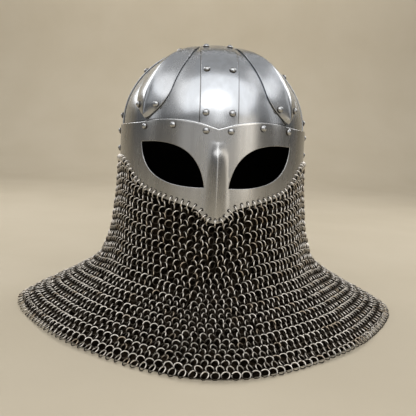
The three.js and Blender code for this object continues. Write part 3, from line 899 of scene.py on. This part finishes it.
for hand_name, hand in HANDS:
    side_seats = {}
    for end_name, end in (("front", -1.0), ("back", 1.0)):
        for rivet, height in SIDE_STRAP_RIVETS:
            along = strap_run(height, SIDE_ARC)
            seat = seat_on(side_strap_surface(hand), end * STRAP_RIVET_OFFSET, along, ON_STRAP)
            side_seats[f"side_{rivet}_{end_name}_{hand_name}"] = seat
        turn = hand * (90.0 + end * math.degrees(STRAP_RIVET_OFFSET / (SKULL_HALF_LENGTH + ON_MASK)))
        for rivet, height in BAND_RIVETS:
            side_seats[f"band_{rivet}_{end_name}_{hand_name}"] = seat_on(rim_point, turn, height, ON_MASK)
    make_rivets(f"rivets_side_{hand_name}", side_seats)

brow_seats = {}
nape_seats = {}
for hand_name, hand in HANDS:
    for rivet, sideways, height in BROW_RIVETS:
        angle = hand * math.degrees(math.asin(sideways / (SKULL_HALF_WIDTH + ON_MASK)))
        seat = seat_on(mask_point, angle * RIM_ARC_DEGREE, height, ON_MASK)
        brow_seats[f"brow_{rivet}_{hand_name}"] = seat
    turn = hand * (180.0 - math.degrees(STRAP_RIVET_OFFSET / (SKULL_HALF_WIDTH + ON_MASK)))
    nape_seats[f"nape_{hand_name}"] = seat_on(rim_point, turn, NAPE_RIVET_HEIGHT, ON_MASK)
make_rivets("rivets_brow", brow_seats)
make_rivets("rivets_nape", nape_seats)

rib_seats = {}
for quarter, hand, front in QUARTERS:
    half_width = read_table(RIB_LENGTHWISE, "elevation", "half_width", RIB_RIVET_ELEVATION)
    along = RIB_RIVET_ELEVATION * DOME_ARC_DEGREE
    for flank_name, flank in (("inner", -1.0), ("outer", 1.0)):
        seat = seat_on(rib_surface(hand, front), flank * RIB_RIVET_SHARE * half_width, along, ON_STRAP)
        rib_seats[f"rib_{quarter}_{flank_name}"] = seat
make_rivets("rivets_rib", rib_seats)


# Mail curtain
# Thousands of plain iron rings, each linked through two rings above it and two below, hang from the rim
# all round. The rows lean left and right in turn. Columns are added on the way down so that it can flare.
MAIL_LIFT = MASK_LIFT + MASK_SHEET / 2
FOLDS = 8
FOLD_DEPTH = 2.2
MAIL_HANG = {
    "drop": (36.0, 56.0, 81.0, 106.0, 124.0, 139.0, 149.5, 162.0, 174.5, 185.5, 192.0),
    "flare": (0.0, 0.006, 0.025, 0.055, 0.1, 0.16, 0.26, 0.455, 0.675, 0.885, 1.0),
}
MAIL_HEM = ((0.0, 194.4), (2.0, 1.2), (4.0, 9.1), (8.0, 1.8))
FLOOR_DROP = 194.0
MAIL_ROWS, MAIL_ROWS_SHORTEST = 34, 28
MAIL_FIRST_ROW = 3.2
MAIL_LAST_ROW = 3.8
RIM_COLUMNS = 124
ADDED_COLUMNS = 44
ADDED_FROM_ROW, ADDED_TO_ROW = 10, 27
ADDING_ROWS = 5
COLUMN_SCATTER = 0.3
PITCH_FADE = 0.5
MAIL_PITCH = {
    "angle": (-180.0, -120.0, -70.0, -45.0, -22.0, 0.0, 25.0, 45.0, 70.0, 120.0, 180.0),
    "share": (0.8, 0.84, 1.06, 1.2, 1.3, 1.28, 1.02, 1.0, 1.06, 0.84, 0.8),
}
WIRE = 1.05
RING_SIDES = 14
WIRE_SIDES = 6
LINK_SLACK = 0.05
ROW_OVERLAP = 0.3
PITCH_MOST = 8.5
RING_RADIUS_LEAST, RING_RADIUS_MOST = 3.05, 3.5
RING_TILT = 46.0
RING_TILT_PITCH = 6.9
RING_TILT_GAIN = 6.0
RING_TILT_LEAST, RING_TILT_MOST = 38.0, 58.0
RING_LEAN = 12.0
PLACE_SPREAD = 0.16
TILT_SPREAD = 5.0
MAIL_BANDS = 6
SURFACE_ANGLES = 720
SURFACE_STEPS = 160
# Painted shade colour for the lower, inner and far side of each ring.
MAIL_PAINTED_SHADE = (0.05, 0.042, 0.033, 1.0)
MAIL_GRIME = (0.14, 0.115, 0.09, 1.0)
# How much painted shade each ring's inner, lower and far side takes, and where it starts and is full.
PAINTED_SHADE_INWARD, PAINTED_SHADE_LOW, PAINTED_SHADE_DEEP = 0.5, 0.75, 1.1
PAINTED_SHADE_REACH = (-1.15, -0.45)
# Painted light: the rows nearest the hem shed some of the painted shade and show lighter.
HEM_PAINTED_LIGHT = 0.7
HEM_SETTLE_POWER = 8
HEM_FLATTENING = 0.55
HEM_PAINTED_LIGHT_POWER = 3
# Painted shade: a nearly black sheet behind the rings, mottled dark brown, stands for the shade deep in
# the weave.
SHADE_SHEET_DARK = (0.004, 0.003, 0.002, 1.0)
SHADE_SHEET_BROWN = (0.025, 0.018, 0.012, 1.0)
BACKING_INSET = (4.0, 4.6)
BACKING_RISE = 7.0
BACKING_CLEARANCE = 0.5
BACKING_END = 0.972
BACKING_COLUMNS = 180
BACKING_ROWS = 60
mail_chance = np.random.default_rng(27)


def mail_iron():
    """Iron wire: grey, some rings browner than others, with painted shade on each ring's lower, inner and
    far side.
    """
    finish, place, shader = new_finish("mail_iron")
    tint = place.node("ShaderNodeAttribute", {"attribute_name": "tint"}, outlet=2)
    grime = noise(place, scale=700.0, detail=4.0).between(0.35, 0.75)
    stops = [
        (0.0, (0.58, 0.545, 0.485, 1.0)),
        (0.45, (0.72, 0.67, 0.60, 1.0)),
        (0.85, (0.84, 0.79, 0.72, 1.0)),
        (0.94, (0.48, 0.40, 0.31, 1.0)),
    ]
    wire = tint.node("ShaderNodeValToRGB", {"stops": stops}, Fac=tint)
    wire = (grime * 0.3).blend(wire, MAIL_GRIME)
    # Painted shade darkens the wire on each ring's lower, inner and far side.
    hidden = place.node("ShaderNodeAttribute", {"attribute_name": "hidden"}, outlet=2)
    hidden = hidden.between(*PAINTED_SHADE_REACH)
    feed(shader, "Base Color", hidden.blend(wire, MAIL_PAINTED_SHADE))
    feed(shader, "Roughness", 0.32 + grime * 0.15 + hidden * 0.2)
    shader.inputs["Metallic"].default_value = 1.0
    return finish


def painted_shade_sheet():
    """Painted shade for the depth of the weave behind the front wires: almost black, mottled dark brown.
    """
    finish, place, shader = new_finish("mail_painted_shade")
    shade_mottle = noise(place, scale=160.0, detail=4.0).between(0.45, 0.75)
    feed(shader, "Base Color", shade_mottle.blend(SHADE_SHEET_DARK, SHADE_SHEET_BROWN))
    feed(shader, "Roughness", 1.0 - shade_mottle * 0.1)
    shader.inputs["Specular IOR Level"].default_value = 0.0
    return finish


MAIL_IRON = mail_iron()


def hang_lines(angles):
    """Lines along which the mail hangs, one for each angle, in even steps, and their lengths."""
    turn = np.abs((angles + 180.0) % 360.0 - 180.0)
    front_height = read_table(MASK_BOTTOM, "angle", "height", np.minimum(turn, 90.0))
    rear_height = read_table(NAPE_BOTTOM, "angle", "height", np.maximum(turn, 90.0))
    rim_height = np.where(turn < 90.0, front_height, rear_height) - SEAM
    rim = rim_point(angles, rim_height, MAIL_LIFT)
    hem_radius = sum(reach * np.cos(np.radians(waves * turn)) for waves, reach in MAIL_HEM)
    heading = np.radians(angles)
    hem = hem_radius[:, None] * np.stack([np.sin(heading), -np.cos(heading)], axis=-1)
    hem_drop = MAIL_HANG["drop"][-1]
    share = np.linspace(0.0, 1.0, SURFACE_STEPS)
    drop = -rim_height[:, None] * (1.0 - share) + hem_drop * share
    rim_flare = read_table(MAIL_HANG, "drop", "flare", -rim_height)[:, None]
    flare = (read_table(MAIL_HANG, "drop", "flare", drop) - rim_flare) / (1.0 - rim_flare)
    level = rim[:, None, :2] + (hem - rim[:, :2])[:, None, :] * flare[:, :, None]
    lines = np.concatenate([level, (BROW_Z - drop)[:, :, None]], axis=-1)
    run = np.cumsum(np.linalg.norm(np.diff(lines, axis=1), axis=2), axis=1)
    run = np.concatenate([np.zeros((len(angles), 1)), run], axis=1)
    even = [
        np.stack([np.interp(share * length[-1], length, column) for column in line.T], axis=-1)
        for line, length in zip(lines, run)
    ]
    return np.array(even), run[:, -1]


def mail_surface():
    """The curtain's middle surface on a grid of angle and share of its length, with its directions."""
    angles = np.linspace(-180.0, 180.0, SURFACE_ANGLES, endpoint=False)
    lines, lengths = hang_lines(angles)
    around = unit(np.roll(lines, -1, axis=0) - np.roll(lines, 1, axis=0))
    down = unit(np.gradient(lines, axis=1))
    outward = unit(np.cross(down, around))
    share = np.linspace(0.0, 1.0, SURFACE_STEPS)
    fold = FOLD_DEPTH * share * (1.0 - share / 2) * np.cos(FOLDS * np.radians(angles))[:, None]
    return angles, lengths, lines + fold[:, :, None] * outward, down, outward


MAIL_ANGLES, MAIL_LENGTHS, *MAIL_FIELDS = mail_surface()


def on_mail(angle, share):
    """Places, and the down and outward directions, at angles and shares of the curtain's length."""
    column = ((angle + 180.0) % 360.0) / 360.0 * SURFACE_ANGLES
    row = np.clip(share, 0.0, 1.0) * (SURFACE_STEPS - 1)
    left = np.floor(column).astype(int)
    upper = np.minimum(np.floor(row).astype(int), SURFACE_STEPS - 2)
    across, along = (column - left)[:, None], (row - upper)[:, None]
    left = left % SURFACE_ANGLES
    right = (left + 1) % SURFACE_ANGLES
    return [
        (field[left, upper] * (1 - across) + field[right, upper] * across) * (1 - along)
        + (field[left, upper + 1] * (1 - across) + field[right, upper + 1] * across) * along
        for field in MAIL_FIELDS
    ]


def column_weights():
    """Weight of every column in every row: one for those from the rim, growing from none for the rest."""
    after = np.arange(ADDED_COLUMNS) + mail_chance.uniform(-COLUMN_SCATTER, COLUMN_SCATTER, ADDED_COLUMNS)
    after = np.floor((after % ADDED_COLUMNS) / ADDED_COLUMNS * RIM_COLUMNS)
    order = np.concatenate([np.arange(RIM_COLUMNS), after + 0.5])
    first_row = np.full(len(order), -float(ADDING_ROWS))
    first_row[RIM_COLUMNS:] = mail_chance.uniform(ADDED_FROM_ROW, ADDED_TO_ROW, ADDED_COLUMNS)
    first_row = first_row[np.argsort(order, kind="stable")]
    rows = np.arange(MAIL_ROWS)[:, None]
    return np.clip((rows - first_row) / ADDING_ROWS, 0.0, 1.0)


def row_angles(row, weights):
    """Angles round the head of one row's rings, half a step on from the row above."""
    middle = np.cumsum(weights) - weights / 2
    total = weights.sum()
    following = np.append(middle[1:], middle[0] + total)
    place = (middle + following) / 2 if row % 2 else middle
    place = place[weights > 0.5] / total
    share = np.full(SURFACE_ANGLES, row / (MAIL_ROWS - 1))
    ring_line = on_mail(MAIL_ANGLES, share)[0]
    step = np.linalg.norm(np.roll(ring_line, -1, axis=0) - ring_line, axis=1)
    fade = 1.0 - PITCH_FADE * row / MAIL_ROWS
    pitch_share = 1.0 + fade * (read_table(MAIL_PITCH, "angle", "share", MAIL_ANGLES) - 1.0)
    run = np.concatenate([[0.0], np.cumsum(step / pitch_share)])
    return np.interp(place % 1.0, run / run[-1], np.append(MAIL_ANGLES, 180.0))


def turn_about(vectors, axis, degrees):
    """Turns vectors about unit axes that are square to them."""
    angle = np.radians(degrees)[:, None]
    return vectors * np.cos(angle) + np.cross(axis, vectors) * np.sin(angle)


def ring_mesh(centre, facing, outward, down, radius, wire, tint, painted_light):
    """Points, triangles, tint and painted shade of many wire rings, each facing along its own direction.
    """
    helper = np.where(np.abs(facing[:, 2:]) < 0.9, [[0.0, 0.0, 1.0]], [[1.0, 0.0, 0.0]])
    first = unit(np.cross(helper, facing))
    second = np.cross(facing, first)
    turn = np.linspace(0.0, 2 * math.pi, RING_SIDES, endpoint=False)
    roll = np.linspace(0.0, 2 * math.pi, WIRE_SIDES, endpoint=False)
    spoke = np.cos(turn)[:, None] * first[:, None, :] + np.sin(turn)[:, None] * second[:, None, :]
    reach = radius[:, None] + wire / 2 * np.cos(roll)
    along_facing = np.sin(roll)[None, None, :, None] * facing[:, None, None, :]
    points = reach[:, None, :, None] * spoke[:, :, None, :] + wire / 2 * along_facing
    points = points + centre[:, None, None, :]
    skin = np.cos(roll)[None, None, :, None] * spoke[:, :, None, :] + along_facing
    # Painted shade: each ring's inner side, lower half and far side are marked darker.
    inward = -(skin * outward[:, None, None, :]).sum(axis=-1)
    low = (spoke * down[:, None, :]).sum(axis=-1)[:, :, None]
    deep = -(spoke * outward[:, None, :]).sum(axis=-1)[:, :, None]
    hidden = PAINTED_SHADE_INWARD * inward + PAINTED_SHADE_LOW * low + PAINTED_SHADE_DEEP * deep - painted_light
    lowest = points[..., 2].min(axis=(1, 2))
    lift = np.maximum(0.0, BROW_Z - FLOOR_DROP - lowest)
    points[..., 2] += lift[:, None, None]
    side, edge = np.meshgrid(np.arange(RING_SIDES), np.arange(WIRE_SIDES), indexing="ij")
    a = side * WIRE_SIDES + edge
    b = (side + 1) % RING_SIDES * WIRE_SIDES + edge
    c = (side + 1) % RING_SIDES * WIRE_SIDES + (edge + 1) % WIRE_SIDES
    d = side * WIRE_SIDES + (edge + 1) % WIRE_SIDES
    one = np.concatenate([np.stack([a, b, c], axis=-1), np.stack([a, c, d], axis=-1)]).reshape(-1, 3)
    per_ring = RING_SIDES * WIRE_SIDES
    starts = np.arange(len(centre))[:, None, None] * per_ring
    values = np.stack([np.repeat(tint, per_ring), hidden.reshape(-1)], axis=-1)
    return points.reshape(-1, 3), (one + starts).reshape(-1, 3), values


def mail_row(row, weights):
    """One row of linked rings."""
    angle = row_angles(row, weights)
    length = np.interp(angle, np.append(MAIL_ANGLES, 180.0), np.append(MAIL_LENGTHS, MAIL_LENGTHS[0]))
    rows = np.interp(length, [MAIL_LENGTHS.min(), MAIL_LENGTHS.max()], [MAIL_ROWS_SHORTEST, MAIL_ROWS])
    spacing = (length - MAIL_FIRST_ROW - MAIL_LAST_ROW) / (rows - 1)
    run = length - MAIL_LAST_ROW - (MAIL_ROWS - 1 - row) * spacing
    is_hung = run > MAIL_FIRST_ROW - ROW_OVERLAP * spacing
    angle, length, spacing, run = angle[is_hung], length[is_hung], spacing[is_hung], run[is_hung]
    centre, down, outward = on_mail(angle, run / length)
    pitch = np.linalg.norm(np.roll(centre, -1, axis=0) - np.roll(centre, 1, axis=0), axis=1) / 2
    pitch = np.minimum(pitch, PITCH_MOST)
    link = np.hypot(spacing, pitch / 2)
    radius = np.clip((link + WIRE) / 2 + LINK_SLACK, RING_RADIUS_LEAST, RING_RADIUS_MOST)
    tilt = RING_TILT + RING_TILT_GAIN * (RING_TILT_PITCH - pitch)
    tilt = np.clip(tilt, RING_TILT_LEAST, RING_TILT_MOST)
    settle = (row / (MAIL_ROWS - 1)) ** HEM_SETTLE_POWER
    tilt = tilt * (1.0 - HEM_FLATTENING * settle) * (1.0 if row % 2 else -1.0)
    count = len(angle)
    tilt = tilt + TILT_SPREAD * mail_chance.standard_normal(count)
    lean = RING_LEAN * (1.0 - settle) + TILT_SPREAD * mail_chance.standard_normal(count)
    outward = unit(outward)
    down = unit(down - (down * outward).sum(axis=1, keepdims=True) * outward)
    facing = turn_about(outward, down, tilt)
    facing = unit(facing * np.cos(np.radians(lean))[:, None] + down * np.sin(np.radians(lean))[:, None])
    centre = centre + PLACE_SPREAD * mail_chance.standard_normal((count, 3))
    tint = mail_chance.uniform(0.0, 1.0, count)
    # Painted light on the rows nearest the hem.
    painted_light = HEM_PAINTED_LIGHT * settle**HEM_PAINTED_LIGHT_POWER
    return ring_mesh(centre, facing, outward, down, radius, WIRE, tint, painted_light)


def make_shade_sheet():
    """A thin dark wall of painted shade close behind the rings, from inside the plates' edge to just above
    the hem.
    """
    angles = np.linspace(-180.0, 180.0, BACKING_COLUMNS, endpoint=False)
    share = np.linspace(0.0, BACKING_END, BACKING_ROWS)
    angle, share = (grid.ravel() for grid in np.meshgrid(angles, share, indexing="ij"))
    place, down, outward = on_mail(angle, share)
    place = np.where(share[:, None] > 0.0, place, place - BACKING_RISE * down)
    shape = (BACKING_COLUMNS, BACKING_ROWS, 3)
    outer, inner = ((place - inset * unit(outward)).reshape(shape) for inset in BACKING_INSET)
    loop = np.concatenate([outer, inner[:, ::-1], outer[:, :1]], axis=1)
    loop[..., 2] = np.maximum(loop[..., 2], BROW_Z - FLOOR_DROP + BACKING_CLEARANCE)
    triangles = grid_triangles(BACKING_COLUMNS, loop.shape[1], closed=True)
    shade_sheet = make_piece("mail_shade_sheet", loop.reshape(-1, 3), triangles, [painted_shade_sheet()])
    weld(shade_sheet)
    return shade_sheet


def make_rings(name, parts):
    """One joined mesh of many rings."""
    points, triangles, values = join(parts)
    rings = make_piece(name, points, triangles, [MAIL_IRON])
    point_values(rings, "tint", values[:, 0])
    point_values(rings, "hidden", values[:, 1])
    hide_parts("mail_curtain")


MAIL_WEIGHTS = column_weights()
mail_rows = [mail_row(row, weights) for row, weights in enumerate(MAIL_WEIGHTS)]
for band in range(MAIL_BANDS):
    first_row, end_row = MAIL_ROWS * band // MAIL_BANDS, MAIL_ROWS * (band + 1) // MAIL_BANDS
    make_rings(f"mail_rings_{band + 1}", mail_rows[first_row:end_row])
# The dark sheet of painted shade behind the rings.
shade_sheet = make_shade_sheet()
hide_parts("mail_curtain")


# Suspension rings
# A bright iron ring, made brighter still by painted light, passes through every hole along the rim, round
# the plate's lower edge, and holds the first row of the mail.
HANGER_RADIUS = 3.5
HANGER_WIRE = 1.25
HANGER_SWING = 9.0
HANGER_PLAY = 0.2
HANGER_TINT = (0.6, 0.82)
# Painted light: the hanger rings shed most of the painted shade and show bright.
HANGER_PAINTED_LIGHT = 1.1


def hanger_rings():
    parts = []
    for surface, centres in ((mask_point, mask_hole_centres), (nape_point, nape_hole_centres)):
        hole = surface(*centres.T, MASK_LIFT + MASK_SHEET / 2)
        along = unit(np.gradient(hole, axis=0))
        upright = np.array([0.0, 0.0, 1.0])
        below = unit(np.cross(np.cross(along, -upright), along))
        swing = HANGER_SWING * mail_chance.standard_normal(len(hole))
        facing = turn_about(along, below, swing)
        centre = hole + below * (HANGER_RADIUS - HANGER_PLAY)
        radius = np.full(len(hole), HANGER_RADIUS)
        tint = mail_chance.uniform(*HANGER_TINT, len(hole))
        outward = np.cross(below, along)
        parts.append(ring_mesh(centre, facing, outward, below, radius, HANGER_WIRE, tint, HANGER_PAINTED_LIGHT))
    return parts


make_rings("suspension_rings", hanger_rings())


# Floor and backdrop
# A plain pale floor, matt as paper, sweeps up behind the helmet in one curve. It is stage and no piece of
# the helmet.
FLOOR_Z = BROW_Z - FLOOR_DROP
SWEEP_FRONT = -2600.0
SWEEP_BACK = 1500.0
SWEEP_ROUND = 700.0
SWEEP_TOP = 1900.0
SWEEP_HALF_WIDTH = 3200.0
SWEEP_STEPS = 24
FLOOR_PALE = (0.50, 0.435, 0.325, 1.0)
FLOOR_LIGHT = (0.53, 0.465, 0.355, 1.0)


def floor_paper():
    finish, place, shader = new_finish("pale_floor")
    mottle = noise(place, scale=6.0, detail=5.0).between(0.3, 0.7)
    grain = noise(place, scale=260.0, detail=4.0)
    feed(shader, "Base Color", mottle.blend(FLOOR_PALE, FLOOR_LIGHT))
    bumped = place.node("ShaderNodeBump", None, Height=grain, Strength=0.08, Distance=0.001)
    feed(shader, "Normal", bumped)
    shader.inputs["Roughness"].default_value = 0.9
    return finish


def make_sweep():
    turn = np.linspace(0.0, math.pi / 2, SWEEP_STEPS)
    cove = np.stack([SWEEP_BACK + SWEEP_ROUND * np.sin(turn), SWEEP_ROUND * (1 - np.cos(turn))], axis=-1)
    profile = np.concatenate([[[SWEEP_FRONT, 0.0]], cove, [[SWEEP_BACK + SWEEP_ROUND, SWEEP_TOP]]])
    sides = np.array([-SWEEP_HALF_WIDTH, SWEEP_HALF_WIDTH])
    x, y = np.meshgrid(sides, profile[:, 0], indexing="ij")
    z = np.broadcast_to(FLOOR_Z + profile[:, 1], x.shape)
    points = np.stack([x, y, z], axis=-1).reshape(-1, 3)
    mesh = bpy.data.meshes.new("floor_sweep")
    mesh.from_pydata((points * MM).tolist(), [], grid_triangles(2, len(profile), False)[:, ::-1].tolist())
    mesh.shade_smooth()
    mesh.materials.append(floor_paper())
    sweep = bpy.data.objects.new("floor_sweep", mesh)
    bpy.context.collection.objects.link(sweep)


make_sweep()


# Light and camera
# Broad soft panels overhead and in front light the polished iron, and two behind it draw its outline. The
# camera stands at the height of the brow.
WORLD_COLOUR = (0.12, 0.12, 0.12, 1.0)
HELMET_AIM = (0.0, 0.0, -90.0)
WALL_AIM = (0.0, 2250.0, 200.0)
SUN_PLACE = (-60.0, -1100.0, 900.0)
SUN_POWER = 0.38
SUN_WIDTH = 38.0
NEUTRAL = (1.0, 1.0, 1.0)
WARM = (1.0, 0.92, 0.8)
PANELS = (
    ("top_panel", (0.0, -900.0, 1250.0), HELMET_AIM, (3300.0, 1850.0), 29.0, NEUTRAL),
    ("overhead", (0.0, 500.0, 1450.0), HELMET_AIM, (2600.0, 1400.0), 4.2, NEUTRAL),
    ("front_panel", (0.0, -1900.0, 0.0), HELMET_AIM, (4400.0, 550.0), 3.2, NEUTRAL),
    ("low_front", (60.0, -1500.0, 330.0), HELMET_AIM, (520.0, 420.0), 0.9, NEUTRAL),
    ("left_fill", (-1200.0, -750.0, 700.0), HELMET_AIM, (700.0, 800.0), 0.6, NEUTRAL),
    ("left_strip", (-1200.0, -60.0, 330.0), HELMET_AIM, (260.0, 750.0), 0.5, NEUTRAL),
    ("left_high", (-910.0, 300.0, 900.0), HELMET_AIM, (700.0, 800.0), 1.0, NEUTRAL),
    ("left_rim", (-845.0, 710.0, 546.0), HELMET_AIM, (500.0, 650.0), 3.2, NEUTRAL),
    ("right_fill", (1200.0, -750.0, 700.0), HELMET_AIM, (700.0, 800.0), 0.25, NEUTRAL),
    ("right_strip", (1200.0, -160.0, 330.0), HELMET_AIM, (260.0, 750.0), 0.5, NEUTRAL),
    ("right_high", (910.0, 240.0, 900.0), HELMET_AIM, (700.0, 800.0), 1.0, NEUTRAL),
    ("right_rim", (845.0, 640.0, 546.0), HELMET_AIM, (500.0, 650.0), 3.2, NEUTRAL),
    ("right_panel", (900.0, -1050.0, 60.0), HELMET_AIM, (600.0, 700.0), 1.3, WARM),
    ("backdrop", (0.0, 1300.0, 1300.0), WALL_AIM, (2400.0, 500.0), 12.0, NEUTRAL),
)
CAMERA_PLACE = (-28.6, -600.4, -90.4)
CAMERA_HEADING = -2.60
CAMERA_PITCH = -7.52
CAMERA_ROLL = 2.50
CAMERA_LENS = 47.57
SENSOR_WIDTH = 36.0
CAMERA_NEAR = 10.0

world = bpy.data.worlds.new("studio")
world.use_nodes = True
world.node_tree.nodes["Background"].inputs["Color"].default_value = WORLD_COLOUR
bpy.context.scene.world = world


def place_light(lamp, place, aim):
    stand = bpy.data.objects.new(lamp.name, lamp)
    stand.location = Vector(place) * MM
    stand.rotation_euler = (Vector(aim) - Vector(place)).to_track_quat("-Z", "Y").to_euler()
    bpy.context.collection.objects.link(stand)


sun = bpy.data.lights.new("key_light", "SUN")
sun.energy = SUN_POWER
sun.angle = math.radians(SUN_WIDTH)
place_light(sun, SUN_PLACE, HELMET_AIM)
for panel_name, place, aim, size, power, colour in PANELS:
    panel = bpy.data.lights.new(panel_name, "AREA")
    panel.shape = "RECTANGLE"
    panel.size, panel.size_y = size[0] * MM, size[1] * MM
    panel.energy = power
    panel.color = colour
    place_light(panel, place, aim)

lens = bpy.data.cameras.new("camera")
lens.lens = CAMERA_LENS
lens.sensor_width = SENSOR_WIDTH
lens.clip_start = CAMERA_NEAR * MM
camera = bpy.data.objects.new("camera", lens)
heading = Matrix.Rotation(math.radians(CAMERA_HEADING), 4, "Z")
pitch = Matrix.Rotation(math.radians(90.0 + CAMERA_PITCH), 4, "X")
roll = Matrix.Rotation(math.radians(CAMERA_ROLL), 4, "Z")
camera.matrix_world = Matrix.Translation(Vector(CAMERA_PLACE) * MM) @ heading @ pitch @ roll
bpy.context.collection.objects.link(camera)
bpy.context.scene.camera = camera
bpy.context.scene.view_settings.view_transform = "Standard"
